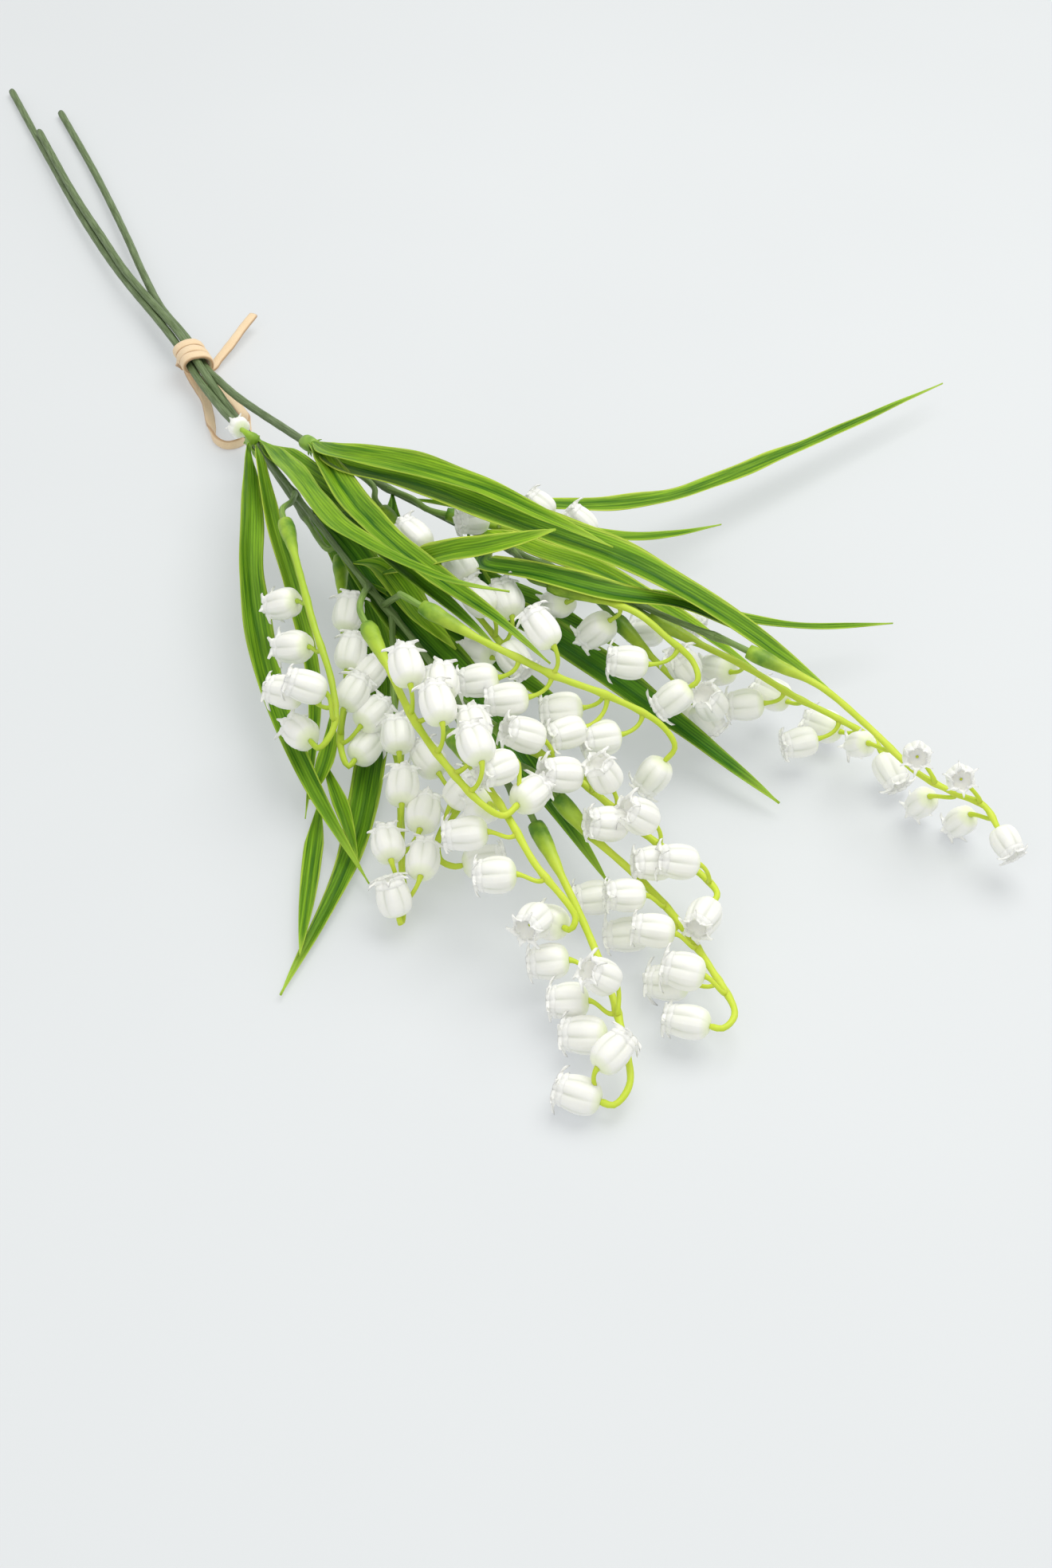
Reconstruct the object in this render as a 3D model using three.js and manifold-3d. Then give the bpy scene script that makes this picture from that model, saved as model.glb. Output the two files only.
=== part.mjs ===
// Artificial lily of the valley bunch, lying down and tied with a flat cord.
// Millimetres, +Z up, the surface it lies on at z = 0 once assembled. The routes below share one drawing
// frame: x runs along the stems from the tie (x = 0) towards the flowers, y runs across them.
import * as THREE from 'three';
import { mergeVertices } from 'three/addons/utils/BufferGeometryUtils.js';
import Module from 'manifold-3d';

// ---------- driving dimensions ----------
const gap = 0.3;                // clear space between neighbouring pieces
const tailLength = 206;         // longest cut stem, behind the tie
const middleTrim = 40;          // how much shorter the middle stem is cut
const rightTrim = 24;
const sideLeafReach = 206;      // how far the long side leaf reaches across
const stemDiameter = 2.5;       // moulded stem over a wire
const branchDiameter = 1.7;     // side branches inside the flower head
const stalkDiameter = 1.8;      // flower stalk of a spray
const sleeveDiameter = 3.4;     // swollen root of a spray, pushed on a branch
const sleeveLength = 10;
const sleeveShare = 0.3;        // the sleeve of a short stalk is cut to this share of it
const pedicelDiameter = 1.1;    // little stalk that carries one bell
const pedicelLead = 6.5;        // how far along the stalk past its bell a pedicel springs
const bellDiameter = 9.2;
const bellLength = 9.4;
const bellMouth = 0.86;         // mouth diameter as a share of the bell's
const bellSeat = 0.6;           // how far a stalk or pedicel enters the crown of its bell
const leafThickness = 0.5;
const leafFold = 28;            // degrees that each half of a leaf rises from flat
const leafRoot = 0.2;           // width at the root and at the tip as shares of the leaf's
const leafTip = 0.06;
const collarLength = 5;         // ring that carries the leaves of one stem
const collarWall = 0.9;
const collarClearance = 0.45;   // the ring slides on its stem
const tieHeight = 7.5;          // axes of the outer two stems under the tie
const stemPitch = stemDiameter + gap;
const lanePitch = stemPitch * 0.72;    // from the middle stem's line to an outer stem's
const middleRise = Math.sqrt(stemPitch ** 2 - lanePitch ** 2);    // it lies in the groove of the outer two
const cordDiameter = 2.4;
const cordEase = 0.9;           // slack between the coiled cord and the stems
const coilPitch = 4.4;          // from one turn of the cord to the next

// ---------- facets ----------
const sides = { stem: 6, thin: 5, branch: 4, stalk: 5, sleeve: 6, pedicel: 3, bell: 6, collar: 8, cord: 8 };
const steps = { stem: 22, thin: 12, branch: 6, stalk: 12, sleeve: 2, pedicel: 3, cord: 80 };
const leafStep = 18;            // length of one facet of a leaf
const knotsPerTurn = 12;        // route points in one turn of the cord

// ---------- colours ----------
const stemGreen = { color: 0x66784f, roughness: 0.55 };
const sprayWhite = { color: 0xf3f4ee, roughness: 0.4 };
const leafGreen = { color: 0x6fa32c, roughness: 0.45 };
const collarGreen = { color: 0x7f9f48, roughness: 0.5 };
const cordTan = { color: 0xe6c59a, roughness: 0.9 };

// ---------- stems ----------
// A lane is -1, 0 or 1 lane pitches across. A route runs from the cut end, across its lane, to the tip;
// branches leave it a length before the tip, pass a point and enter a spray.
const stems = {
  stem_left: {
    lane: -1,
    route: [
      [-tailLength, -1, 1.5], [-150, -3, 2.5], [-101, -4.5, 4], [-62.5, -4, 5], [-10, -1, tieHeight],
      [12, -1, tieHeight], [36.5, -1, 11], [63, -0.5, 17], [101, -0.5, 23], [143, 1.5, 25], [173, 6, 22],
      [207, 8, 18], [231.5, 7, 19],
    ],
    thinLength: 163,
    branches: [
      { before: 133, via: [111.5, -7.5, 30], spray: 'spray_left' },
      { before: 84, via: [163, -6.5, 36], spray: 'spray_long' },
      { before: 76, via: [170, 0.5, 38], spray: 'spray_middle' },
      { before: 72, via: [172.5, -3, 19], spray: 'spray_low_left' },
      { before: 47, via: [197, 5, 15], spray: 'spray_inner' },
      { before: 46, via: [200, -2, 30], spray: 'spray_fork' },
      { before: 39, via: [204.5, 6.5, 25], spray: 'spray_centre' },
      { before: 17, via: [226.5, 10.5, 22], spray: 'spray_right_low' },
      { before: 1, via: [234, 5, 19.4], spray: 'spray_front' },
    ],
  },
  stem_middle: {
    lane: 0,
    route: [
      [middleTrim - tailLength, -2.5, 4.5], [-115.5, -4, 5.5], [-80, -3, 7], [-56, -3.5, 8],
      [-10, -1, tieHeight + middleRise], [12, -1, tieHeight + middleRise], [33, 0, 8.5], [59, 0, 11],
      [92.5, -0.5, 14], [111.5, -0.5, 15],
    ],
    thinLength: 44,
    branches: [
      { before: 12, via: [119, 0, 16], spray: 'spray_under' },
    ],
  },
  stem_right: {
    lane: 1,
    route: [
      [rightTrim - tailLength, 7, 1.5], [-130.5, 5, 2.5], [-82, 1.5, 4], [-59.5, 0, 5],
      [-10, -1, tieHeight], [12, -1, tieHeight], [33, 2, 11.5], [58, 3.5, 17.5], [82, 7.5, 24],
      [119.5, 20, 28], [150.5, 39, 25], [177.5, 54.5, 26], [199, 62, 30], [213, 68.5, 32],
    ],
    thinLength: 142,
    branches: [
      { before: 126, via: [114, 16, 29], spray: 'spray_covered' },
      { before: 112, via: [125, 23.5, 30], spray: 'spray_back' },
      { before: 69, via: [168, 37.5, 33], spray: 'spray_upper' },
      { before: 58, via: [172, 52, 24], spray: 'spray_shade' },
      { before: 43, via: [185.5, 59.5, 26], spray: 'spray_side' },
      { before: 1, via: [214.8, 70.9, 32.7], spray: 'spray_end' },
    ],
  },
};

// ---------- sprays ----------
// A stalk runs from the sleeve to the crown of its last bell. Each side bell: length along the stalk,
// turn round it and reach away from it; nod is the degrees the bells lean out from facing back.
const sprays = {
  spray_left: {
    nod: 60,
    stalk: [
      [126.5, -14.5, 36], [144.5, -18, 37], [167, -22, 34], [184, -24, 28], [194.5, -28, 24],
      [197, -33, 21], [192, -34, 20],
    ],
    bells: [[26, -55, 9], [42, -55, 9], [59, -5, 12], [63, 45, 9]],
  },
  spray_under: {
    nod: 30,
    stalk: [
      [124.5, 1, 17], [149, -8, 16], [171.5, -16, 14.5], [189.5, -25, 12], [196, -25.5, 10.5],
      [194, -22.5, 10.5],
    ],
    bells: [[33, 100, 9], [47, 100, 9], [52, 135, 9], [60, 110, 9], [63, 155, 9]],
  },
  spray_low_left: {
    nod: 10,
    stalk: [
      [187.5, -9, 14], [205, -15, 9], [223, -22.5, 6], [241, -29.5, 4], [245.5, -32, 4], [244, -32, 6],
    ],
    bells: [[11, 90, 9], [28, 95, 9], [45, 70, 9], [35, 130, 9], [50, 125, 9]],
  },
  spray_inner: {
    nod: 40,
    stalk: [
      [210, 2, 12], [220, -6, 9], [226.5, -14, 7], [231.5, -15.5, 5.5], [234.5, -13, 5], [235, -10.5, 5],
    ],
    bells: [[2, 15, 10], [13, 105, 9]],
  },
  spray_long: {
    nod: 20,
    stalk: [
      [185, -14, 45], [199, -15, 45], [220, -16, 43], [234.5, -14, 40], [246, -10, 36], [248.5, -6, 33],
      [245.5, -0.5, 32],
    ],
    bells: [[26, 100, 9], [29, 160, 10], [39, 115, 9], [46, 155, 11], [52, 130, 9], [75, 130, 10]],
  },
  spray_fork: {
    nod: 60,
    stalk: [
      [218.5, -6.5, 34], [230.5, -5.5, 33], [248, -4, 30], [260, -3, 26], [270.5, 0.5, 21],
      [273.5, 1, 19], [275, -1, 17.5], [272.5, -2, 16.5],
    ],
    bells: [[18, -90, 9], [27, -20, 10], [40, -20, 9], [64, 140, 10]],
  },
  spray_front: {
    nod: 70,
    stalk: [
      [243, 5, 20], [256.5, 4.5, 18], [274.5, 4, 13], [289.5, 2.5, 9], [301.5, -0.5, 8], [313, -4.5, 6],
      [316, -10, 5], [313.5, -12.5, 5],
    ],
    bells: [[35, -15, 11], [48, 70, 9], [47, -10, 10], [58, -10, 8], [83, 45, 11]],
  },
  spray_right_low: {
    nod: 50,
    stalk: [
      [239.5, 12.5, 23], [250, 16.5, 18], [260, 22, 13], [273.5, 26, 10], [294, 27, 8.5],
      [307, 25.5, 8.5], [309.5, 21, 8.5], [307, 18.5, 8],
    ],
    bells: [[23, -35, 11], [31, 25, 9], [37, -30, 11], [45, 25, 9], [56, -20, 10], [60, 30, 9]],
  },
  spray_centre: {
    nod: 40,
    stalk: [
      [216.5, 7, 29], [230, 15, 26], [238.5, 20.5, 23], [247, 25.5, 19], [258, 31.5, 15], [269, 37, 13],
      [276, 37.5, 13], [279, 34, 13.5],
    ],
    bells: [[10, 65, 9], [22, 45, 9], [29, 85, 9], [38, 30, 9], [43, 70, 9], [53, 25, 9], [59, 50, 9]],
  },
  spray_middle: {
    nod: 30,
    stalk: [
      [188.5, -0.5, 49], [203, 8, 47], [212, 15, 45], [219, 22, 42], [225, 33.5, 36], [233, 44, 29],
      [237, 46, 24], [237, 43, 20],
    ],
    bells: [[31, 120, 9], [22, -45, 9], [31, -40, 10], [45, -90, 9], [46, -50, 12], [56, -50, 10]],
  },
  spray_upper: {
    nod: 35,
    stalk: [
      [182.5, 37.5, 38], [191.5, 43.5, 39], [203.5, 51.5, 40], [211.5, 56.5, 36], [217.5, 61, 31],
      [221.5, 60.5, 28], [221, 58, 26],
    ],
    bells: [[0, -115, 9], [14, -85, 9], [33, -40, 11]],
  },
  spray_shade: {
    nod: 35,
    stalk: [[185.5, 55, 23], [204, 59.5, 19], [211, 63, 15], [214.5, 65, 11.5]],
    bells: [[24, 80, 9], [34, -95, 9], [34, 70, 9]],
  },
  spray_side: {
    nod: 35,
    stalk: [
      [192.5, 62, 26], [203.5, 69, 24], [216, 77.5, 22], [228, 87, 17], [235.5, 94.5, 13.5],
      [244, 101.5, 9.5], [248, 101.5, 8],
    ],
    bells: [[21, -110, 9], [34, -65, 9], [39, -120, 9], [50, -45, 10], [55, -115, 9]],
  },
  spray_end: {
    nod: 40,
    stalk: [
      [222, 74.5, 33], [228.5, 79, 32], [238, 87, 29], [250, 94, 23], [265, 100, 17.5],
      [273.5, 106, 15.5], [279, 111, 14], [286, 111, 12],
    ],
    bells: [[37, -100, 9], [51, 70, 9], [57, -95, 9], [63, 70, 9], [68, -95, 9]],
  },
  spray_covered: {
    nod: 20,
    stalk: [[125.5, 14, 30], [150.5, 15, 30], [168.5, 18.5, 30], [181, 21, 27.5], [186.5, 22.5, 25.5]],
    bells: [[25, 80, 9], [42, 95, 9], [52, 80, 9], [55, 125, 9], [56, -80, 9]],
  },
  spray_back: {
    nod: 30,
    stalk: [[134.5, 29, 30], [144.5, 43.5, 27], [155.5, 58, 23], [170, 68, 19], [184, 75, 16]],
    bells: [[8, 40, 9], [24, 105, 9], [36, 95, 9], [66, -60, 9]],
  },
  spray_tie: {
    nod: 30,
    stalk: [[71.5, -4, 23], [70.5, -6, 25.5], [66, -6.5, 24.5]],
    bells: [],
  },
};

// ---------- leaves ----------
// A midrib runs from the root to the tip; roll is in degrees at the root and at the tip.
const leaves = {
  leaf_far_left: {
    midrib: [
      [67.5, -5, 20], [100, -16.5, 22], [126, -26, 19], [164, -34.5, 14], [197, -36, 9], [230, -34, 4],
    ],
    width: 9,
    roll: [60, -20],
  },
  leaf_left_inner: {
    midrib: [
      [83, -7, 24], [109.5, -13, 22], [135, -16.5, 14], [162, -22, 9], [190.5, -34, 7],
      [203.5, -40.5, 5],
    ],
    width: 7,
    roll: [40, 0],
  },
  leaf_left_broad: {
    midrib: [[114.5, 3, 12], [162.5, -3, 5], [187.5, -16, 2.5], [219, -35, 2], [252, -65.5, 1.5]],
    width: 8,
    roll: [0, 0],
  },
  leaf_left_slim: {
    midrib: [[195.5, -33.5, 2.5], [211, -41, 3], [228, -49.5, 3], [244, -57.5, 3.5]],
    width: 5,
    roll: [0, 0],
  },
  leaf_left_short: {
    midrib: [[175, -22, 10], [185.5, -26.5, 9.5], [194, -32.5, 8], [199, -37.5, 6.5]],
    width: 5,
    roll: [0, 0],
  },
  leaf_left_cross: {
    midrib: [[185, -29, 6], [191, -29.5, 5.5], [208.5, -31.5, 5], [221.5, -33.5, 4]],
    width: 4,
    roll: [0, 0],
  },
  leaf_arch: {
    midrib: [
      [71.5, -1.5, 21], [106.5, -4, 34], [144, -5, 43], [168.5, 1.5, 48], [184.5, 10, 50],
      [192.5, 21.5, 49],
    ],
    width: 7,
    roll: [10, 10],
  },
  leaf_right_slim: {
    midrib: [
      [95, 7.5, 30], [132.5, 4.5, 38], [159, 6.5, 42], [179.5, 11, 44], [197, 17, 44], [213, 23, 41],
    ],
    width: 8,
    roll: [0, 0],
  },
  leaf_blue: {
    midrib: [[132, 2, 34.5], [157.5, 4.5, 38.5], [176, 8, 40.5], [191, 11, 41.5], [202.5, 14, 40.5]],
    width: 6,
    roll: [0, 0],
  },
  leaf_top_far: {
    midrib: [[100, 9, 34], [124.5, 19.5, 43], [150.5, 32, 49], [171.5, 42.5, 50], [184.5, 54.5, 46]],
    width: 8,
    roll: [-10, -10],
  },
  leaf_top_long: {
    midrib: [
      [104, 10, 32], [133, 23, 40], [164, 37, 45], [189, 57, 43], [211.5, 75.5, 34], [240.5, 95.5, 20],
    ],
    width: 12,
    roll: [0, 0],
  },
  leaf_right_float: {
    midrib: [
      [125.5, 33, 30], [138, 59, 25], [138, 94, 16], [128.5, 139.5, 11], [113.5, sideLeafReach, 8],
    ],
    width: 6,
    roll: [0, 0],
  },
  leaf_right_under: {
    midrib: [[135, 50.5, 22], [147.5, 71.5, 17], [149, 91.5, 12], [147.5, 109, 9]],
    width: 5,
    roll: [0, 0],
  },
  leaf_right_tip: {
    midrib: [[188, 72.5, 24], [199, 88.5, 20], [203.5, 108.5, 14], [206.5, 130, 10]],
    width: 4,
    roll: [0, 0],
  },
  leaf_dark_long: {
    midrib: [[162, 26, 25], [182.5, 37.5, 20], [201, 47.5, 16], [219, 57, 11], [248.5, 71, 4]],
    width: 10,
    roll: [0, 0],
  },
  leaf_curl: {
    midrib: [[169, 16, 46], [174, 22.5, 49], [177, 31, 51], [179.5, 40.5, 53]],
    width: 8,
    roll: [-20, -20],
  },
  leaf_upper_dark: {
    midrib: [[168, 25, 38], [180.5, 34, 41], [195, 47.5, 41], [206, 64.5, 36], [215.5, 77.5, 30]],
    width: 8,
    roll: [0, 0],
  },
  leaf_shadow: {
    midrib: [[133, 15, 24], [155, 27, 22], [169, 41.5, 18], [186.5, 57, 12]],
    width: 8,
    roll: [0, 0],
  },
  leaf_yellow: {
    midrib: [[153, 37.5, 32], [163.5, 43, 33], [176, 53.5, 32], [194.5, 69, 25], [215, 82, 18]],
    width: 7,
    roll: [0, 0],
  },
  leaf_deep: {
    midrib: [[124, 2, 22], [160, 5, 20], [189.5, 11.5, 16], [224.5, 15.5, 11], [257, 18, 7]],
    width: 9,
    roll: [0, 0],
  },
  leaf_cross_under: {
    midrib: [[161.5, 17, 14], [179.5, 24, 13], [196, 31.5, 11], [210.5, 37, 8]],
    width: 5,
    roll: [0, 0],
  },
  leaf_striped: {
    midrib: [[148.5, 4.5, 29.5], [168, 7.5, 26.5], [178, 12.5, 21.5]],
    width: 8,
    roll: [0, 0],
  },
  leaf_under_arch: {
    midrib: [[76, -1, 21], [101.5, 3.5, 25.5], [123.5, 8, 27.5], [138, 12, 27.5]],
    width: 7,
    roll: [0, 0],
  },
};

// ---------- collars ----------
const collars = {    // one on each stem, a length before its tip
  leaf_collar_left: { stem: 'stem_left', before: 169 },
  leaf_collar_middle: { stem: 'stem_middle', before: 50 },
  leaf_collar_right: { stem: 'stem_right', before: 148 },
};

// ---------- cord ----------
// The free end lies on the right and passes under the stems; the coil runs clockwise towards the flowers;
// a flat bow loop follows, and its end is tucked under the coil.
const coil = { x: -6.2, y: -1, start: -150, knots: 34 };
const coilAcross = lanePitch + stemDiameter / 2 + cordEase + cordDiameter / 2;
const coilUp = (middleRise + stemDiameter) / 2 + cordEase + cordDiameter / 2;
const cordTail = [
  [-18, 26, 5], [-13, 20.5, 4.5], [-7.5, 14.5, 3.5], [-2.5, 8.5, 2.5], [0.5, 4.5, 1.7], [-1.5, 0, 1.6],
  [-4.5, -3.5, 2.3],
];
const cordCoil = Array.from({ length: coil.knots }, (_, i) => {
  const turn = THREE.MathUtils.degToRad(coil.start) - 2 * Math.PI * i / knotsPerTurn;
  const height = tieHeight + middleRise / 2 + coilUp * Math.sin(turn);
  return [coil.x + coilPitch * i / knotsPerTurn, coil.y + coilAcross * Math.cos(turn), height];
});
const cordLoop = [
  [9, 1.2, 2.6], [14, 4, 1.6], [24, 5.5, 1.5], [32.5, 5.5, 1.5], [38.5, 3.5, 1.5], [41.5, -0.5, 1.5],
  [41, -4.5, 1.5], [37, -6.5, 1.5], [30, -5.5, 1.5], [23.5, -4, 1.5], [15.5, -2.5, 1.5], [9, -2.5, 1.5],
  [4, -2.5, 1.5],
];
const cordRoute = [...cordTail, ...cordCoil, ...cordLoop];


// ---------- solids ----------
const wasm = await Module();
wasm.setup();

const vector = (point) => new THREE.Vector3(...point);
const curveThrough = (points) => new THREE.CatmullRomCurve3(points.map(vector));

function toSolid(geometry) {    // shared vertices merged, so that booleans see a closed body
  geometry.deleteAttribute('normal');
  geometry.deleteAttribute('uv');
  const merged = mergeVertices(geometry, 1e-4);
  return new wasm.Manifold(new wasm.Mesh({
    numProp: 3,
    vertProperties: new Float32Array(merged.attributes.position.array),
    triVerts: new Uint32Array(merged.index.array),
  }));
}

function toMesh(solid, name, look) {
  const { vertProperties, triVerts } = solid.getMesh();
  const geometry = new THREE.BufferGeometry();
  geometry.setAttribute('position', new THREE.BufferAttribute(new Float32Array(vertProperties), 3));
  geometry.setIndex(new THREE.BufferAttribute(new Uint32Array(triVerts), 1));
  geometry.computeVertexNormals();
  const mesh = new THREE.Mesh(geometry, new THREE.MeshStandardMaterial({ metalness: 0, ...look }));
  mesh.name = name;
  return mesh;
}

function tube(curve, diameter, sideCount, stepCount) {
  const ring = Array.from({ length: sideCount }, (_, i) => {
    const turn = (2 * Math.PI * i) / sideCount;
    return new THREE.Vector2(Math.cos(turn) * diameter / 2, Math.sin(turn) * diameter / 2);
  });
  const path = { steps: stepCount, extrudePath: curve, bevelEnabled: false };
  return toSolid(new THREE.ExtrudeGeometry(new THREE.Shape(ring), path));
}

function lathe(profile, sideCount, centre, axis) {    // profile: radius, height pairs
  const geometry = new THREE.LatheGeometry(profile.map(([r, h]) => new THREE.Vector2(r, h)), sideCount);
  const turn = new THREE.Quaternion().setFromUnitVectors(new THREE.Vector3(0, 1, 0), axis);
  geometry.applyQuaternion(turn);
  geometry.translate(centre.x, centre.y, centre.z);
  return toSolid(geometry);
}

// A place on a curve, a length along it: the point, the direction, and a radial that turns with the angle
// (0 degrees to the right of the direction, 90 up, 180 left).
function placeOn(curve, along, degrees) {
  const t = THREE.MathUtils.clamp(along / curve.getLength(), 0, 1);
  const point = curve.getPointAt(t);
  const direction = curve.getTangentAt(t);
  const right = new THREE.Vector3().crossVectors(direction, new THREE.Vector3(0, 0, 1)).normalize();
  const up = new THREE.Vector3().crossVectors(right, direction);
  const turn = THREE.MathUtils.degToRad(degrees);
  const radial = right.multiplyScalar(Math.cos(turn)).addScaledVector(up, Math.sin(turn));
  return { point, direction, radial };
}

// ---------- sprays ----------
const bellProfile = [
  [0, 0], [bellDiameter * 0.3, bellLength * 0.05], [bellDiameter * 0.5, bellLength * 0.42],
  [bellDiameter * 0.5 * bellMouth, bellLength], [0, bellLength],
];
const bell = (crown, axis) => lathe(bellProfile, sides.bell, crown, axis);

// One side bell: it sits a reach away from the stalk, nodding back along it, and its pedicel bows out from
// further along the stalk and enters the crown.
function bellWithPedicel(curve, nod, [along, degrees, reach]) {
  const seat = placeOn(curve, along, degrees);
  const lean = THREE.MathUtils.degToRad(nod);
  const axis = seat.radial.clone().multiplyScalar(Math.sin(lean))
    .addScaledVector(seat.direction, -Math.cos(lean));
  const crown = seat.point.clone().addScaledVector(seat.radial, reach)
    .addScaledVector(axis, -bellLength / 2);
  const spring = placeOn(curve, Math.min(along + pedicelLead, curve.getLength()), degrees);
  const outward = spring.point.clone().addScaledVector(seat.radial, reach * 0.3)
    .addScaledVector(seat.direction, reach * 0.15);
  const behind = crown.clone().addScaledVector(axis, -reach * 0.25);
  const inside = crown.clone().addScaledVector(axis, bellSeat);
  const route = new THREE.CubicBezierCurve3(spring.point, outward, behind, inside);
  return tube(route, pedicelDiameter, sides.pedicel, steps.pedicel).add(bell(crown, axis));
}

function buildSpray({ stalk, nod, bells }) {
  const curve = curveThrough(stalk);
  const end = curve.getTangentAt(1);
  const share = Math.min(sleeveLength / curve.getLength(), sleeveShare);
  const sleeveCurve = new THREE.QuadraticBezierCurve3(
    curve.getPointAt(0), curve.getPointAt(share / 2), curve.getPointAt(share));
  let solid = tube(curve, stalkDiameter, sides.stalk, steps.stalk)
    .add(tube(sleeveCurve, sleeveDiameter, sides.sleeve, steps.sleeve))
    .add(bell(curve.getPointAt(1).addScaledVector(end, -bellSeat), end));
  for (const entry of bells) solid = solid.add(bellWithPedicel(curve, nod, entry));
  return solid;
}

// ---------- stems ----------
const stemCurve = ({ lane, route }) => curveThrough(
  route.map(([x, y, z]) => [x, y + lane * lanePitch, z]));

function stretchOf(curve, from, to) {    // the part of a curve between two shares of its length
  const count = 25;
  const share = (i) => from + (to - from) * i / (count - 1);
  return curveThrough(Array.from({ length: count }, (_, i) => curve.getPointAt(share(i)).toArray()));
}

function buildStem(stem) {    // thick to the leaf collar, thinner inside the flower head
  const curve = stemCurve(stem);
  const length = curve.getLength();
  const split = 1 - stem.thinLength / length;
  const overlap = 0.004;
  let solid = tube(stretchOf(curve, 0, split), stemDiameter, sides.stem, steps.stem)
    .add(tube(stretchOf(curve, split - overlap, 1), branchDiameter, sides.thin, steps.thin));
  for (const { before, via, spray } of stem.branches) {
    const stalk = curveThrough(sprays[spray].stalk);
    const entry = stalk.getTangentAt(0);
    const tip = stalk.getPointAt(0).addScaledVector(entry, -gap);
    const nearTip = tip.clone().addScaledVector(entry, -sleeveLength * 0.6);
    const from = curve.getPointAt(1 - before / length);
    const branch = new THREE.CatmullRomCurve3([from, vector(via), nearTip, tip]);
    solid = solid.add(tube(branch, branchDiameter, sides.branch, steps.branch));
  }
  return solid;
}

// ---------- leaves ----------
function leafOutline(t) {    // half width along the leaf: widest at two fifths, drawn out to a point
  const swell = Math.sin(Math.PI * t ** 0.75) ** 0.8;
  return Math.max(swell, leafRoot * (1 - t) + leafTip * t);
}

function buildLeaf({ midrib, width, roll }) {    // a blade folded along its midrib
  const curve = curveThrough(midrib);
  const length = curve.getLength();
  const geometry = new THREE.BoxGeometry(1, 1, 1, 2, Math.max(6, Math.round(length / leafStep)), 1);
  const position = geometry.attributes.position;
  const fold = THREE.MathUtils.degToRad(leafFold);
  for (let i = 0; i < position.count; i += 1) {
    const t = THREE.MathUtils.clamp(position.getY(i) + 0.5, 0, 1);
    const across = position.getX(i) * 2;
    const { point, direction, radial } = placeOn(curve, t * length, roll[0] + (roll[1] - roll[0]) * t);
    const normal = new THREE.Vector3().crossVectors(radial, direction);
    const half = width / 2 * leafOutline(t);
    const rise = Math.abs(across) * half * Math.sin(fold) + position.getZ(i) * leafThickness;
    point.addScaledVector(radial, across * half * Math.cos(fold)).addScaledVector(normal, rise);
    position.setXYZ(i, point.x, point.y, point.z);
  }
  return toSolid(geometry);
}

// ---------- collars ----------
function buildCollar({ stem, before }) {    // a ring round its stem
  const curve = stemCurve(stems[stem]);
  const { point, direction } = placeOn(curve, curve.getLength() - before, 0);
  const bore = stemDiameter / 2 + collarClearance;
  const outside = bore + collarWall;
  const half = collarLength / 2;
  const profile = [[bore, -half], [outside, -half], [outside, half], [bore, half], [bore, -half]];
  return lathe(profile, sides.collar, point, direction);
}

// ---------- assembly ----------
const pieces = [
  ...Object.entries(stems).map(([name, stem]) => [name, buildStem(stem), stemGreen]),
  ...Object.entries(sprays).map(([name, spray]) => [name, buildSpray(spray), sprayWhite]),
  ...Object.entries(leaves).map(([name, leaf]) => [name, buildLeaf(leaf), leafGreen]),
  ...Object.entries(collars).map(([name, collar]) => [name, buildCollar(collar), collarGreen]),
  ['tie_cord', tube(curveThrough(cordRoute), cordDiameter, sides.cord, steps.cord), cordTan],
];

const bunch = new THREE.Group();
for (const [name, solid, look] of pieces) bunch.add(toMesh(solid, name, look));
const footprint = new THREE.Box3();    // without the cord, as the bunch lies on its own pieces
for (const mesh of bunch.children) if (mesh.name !== 'tie_cord') footprint.expandByObject(mesh);
const centre = footprint.getCenter(new THREE.Vector3());
bunch.position.set(-centre.x, -centre.y, -footprint.min.z);

export default bunch;
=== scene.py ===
# Bunch of artificial lily of the valley, lying on a table and tied with a flat cord. Routes are in
# millimetres in the bunch's own drawing frame: x runs along the stems from the tie towards the flowers, y
# runs across them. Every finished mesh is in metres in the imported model's frame.
import bpy
import numpy as np
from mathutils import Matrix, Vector


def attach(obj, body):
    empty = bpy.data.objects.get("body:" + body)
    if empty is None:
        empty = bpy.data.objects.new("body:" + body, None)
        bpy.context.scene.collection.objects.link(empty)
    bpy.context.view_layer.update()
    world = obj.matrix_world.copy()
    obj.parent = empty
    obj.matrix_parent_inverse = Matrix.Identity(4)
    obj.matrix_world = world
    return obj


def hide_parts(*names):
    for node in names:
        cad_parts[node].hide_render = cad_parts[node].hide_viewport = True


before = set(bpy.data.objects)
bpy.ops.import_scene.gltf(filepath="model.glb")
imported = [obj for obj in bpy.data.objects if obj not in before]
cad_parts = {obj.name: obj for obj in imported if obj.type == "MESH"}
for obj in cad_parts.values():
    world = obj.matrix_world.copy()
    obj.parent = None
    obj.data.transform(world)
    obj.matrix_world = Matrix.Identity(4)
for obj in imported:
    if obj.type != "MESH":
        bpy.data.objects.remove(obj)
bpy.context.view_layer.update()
print("frame loaded,", len(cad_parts), "nodes")

mm = 0.001
home = np.array([-54.857, -70.195, 0.151])    # the drawing frame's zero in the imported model's frame, mm
zAxis = np.array([0.0, 0.0, 1.0])

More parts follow.
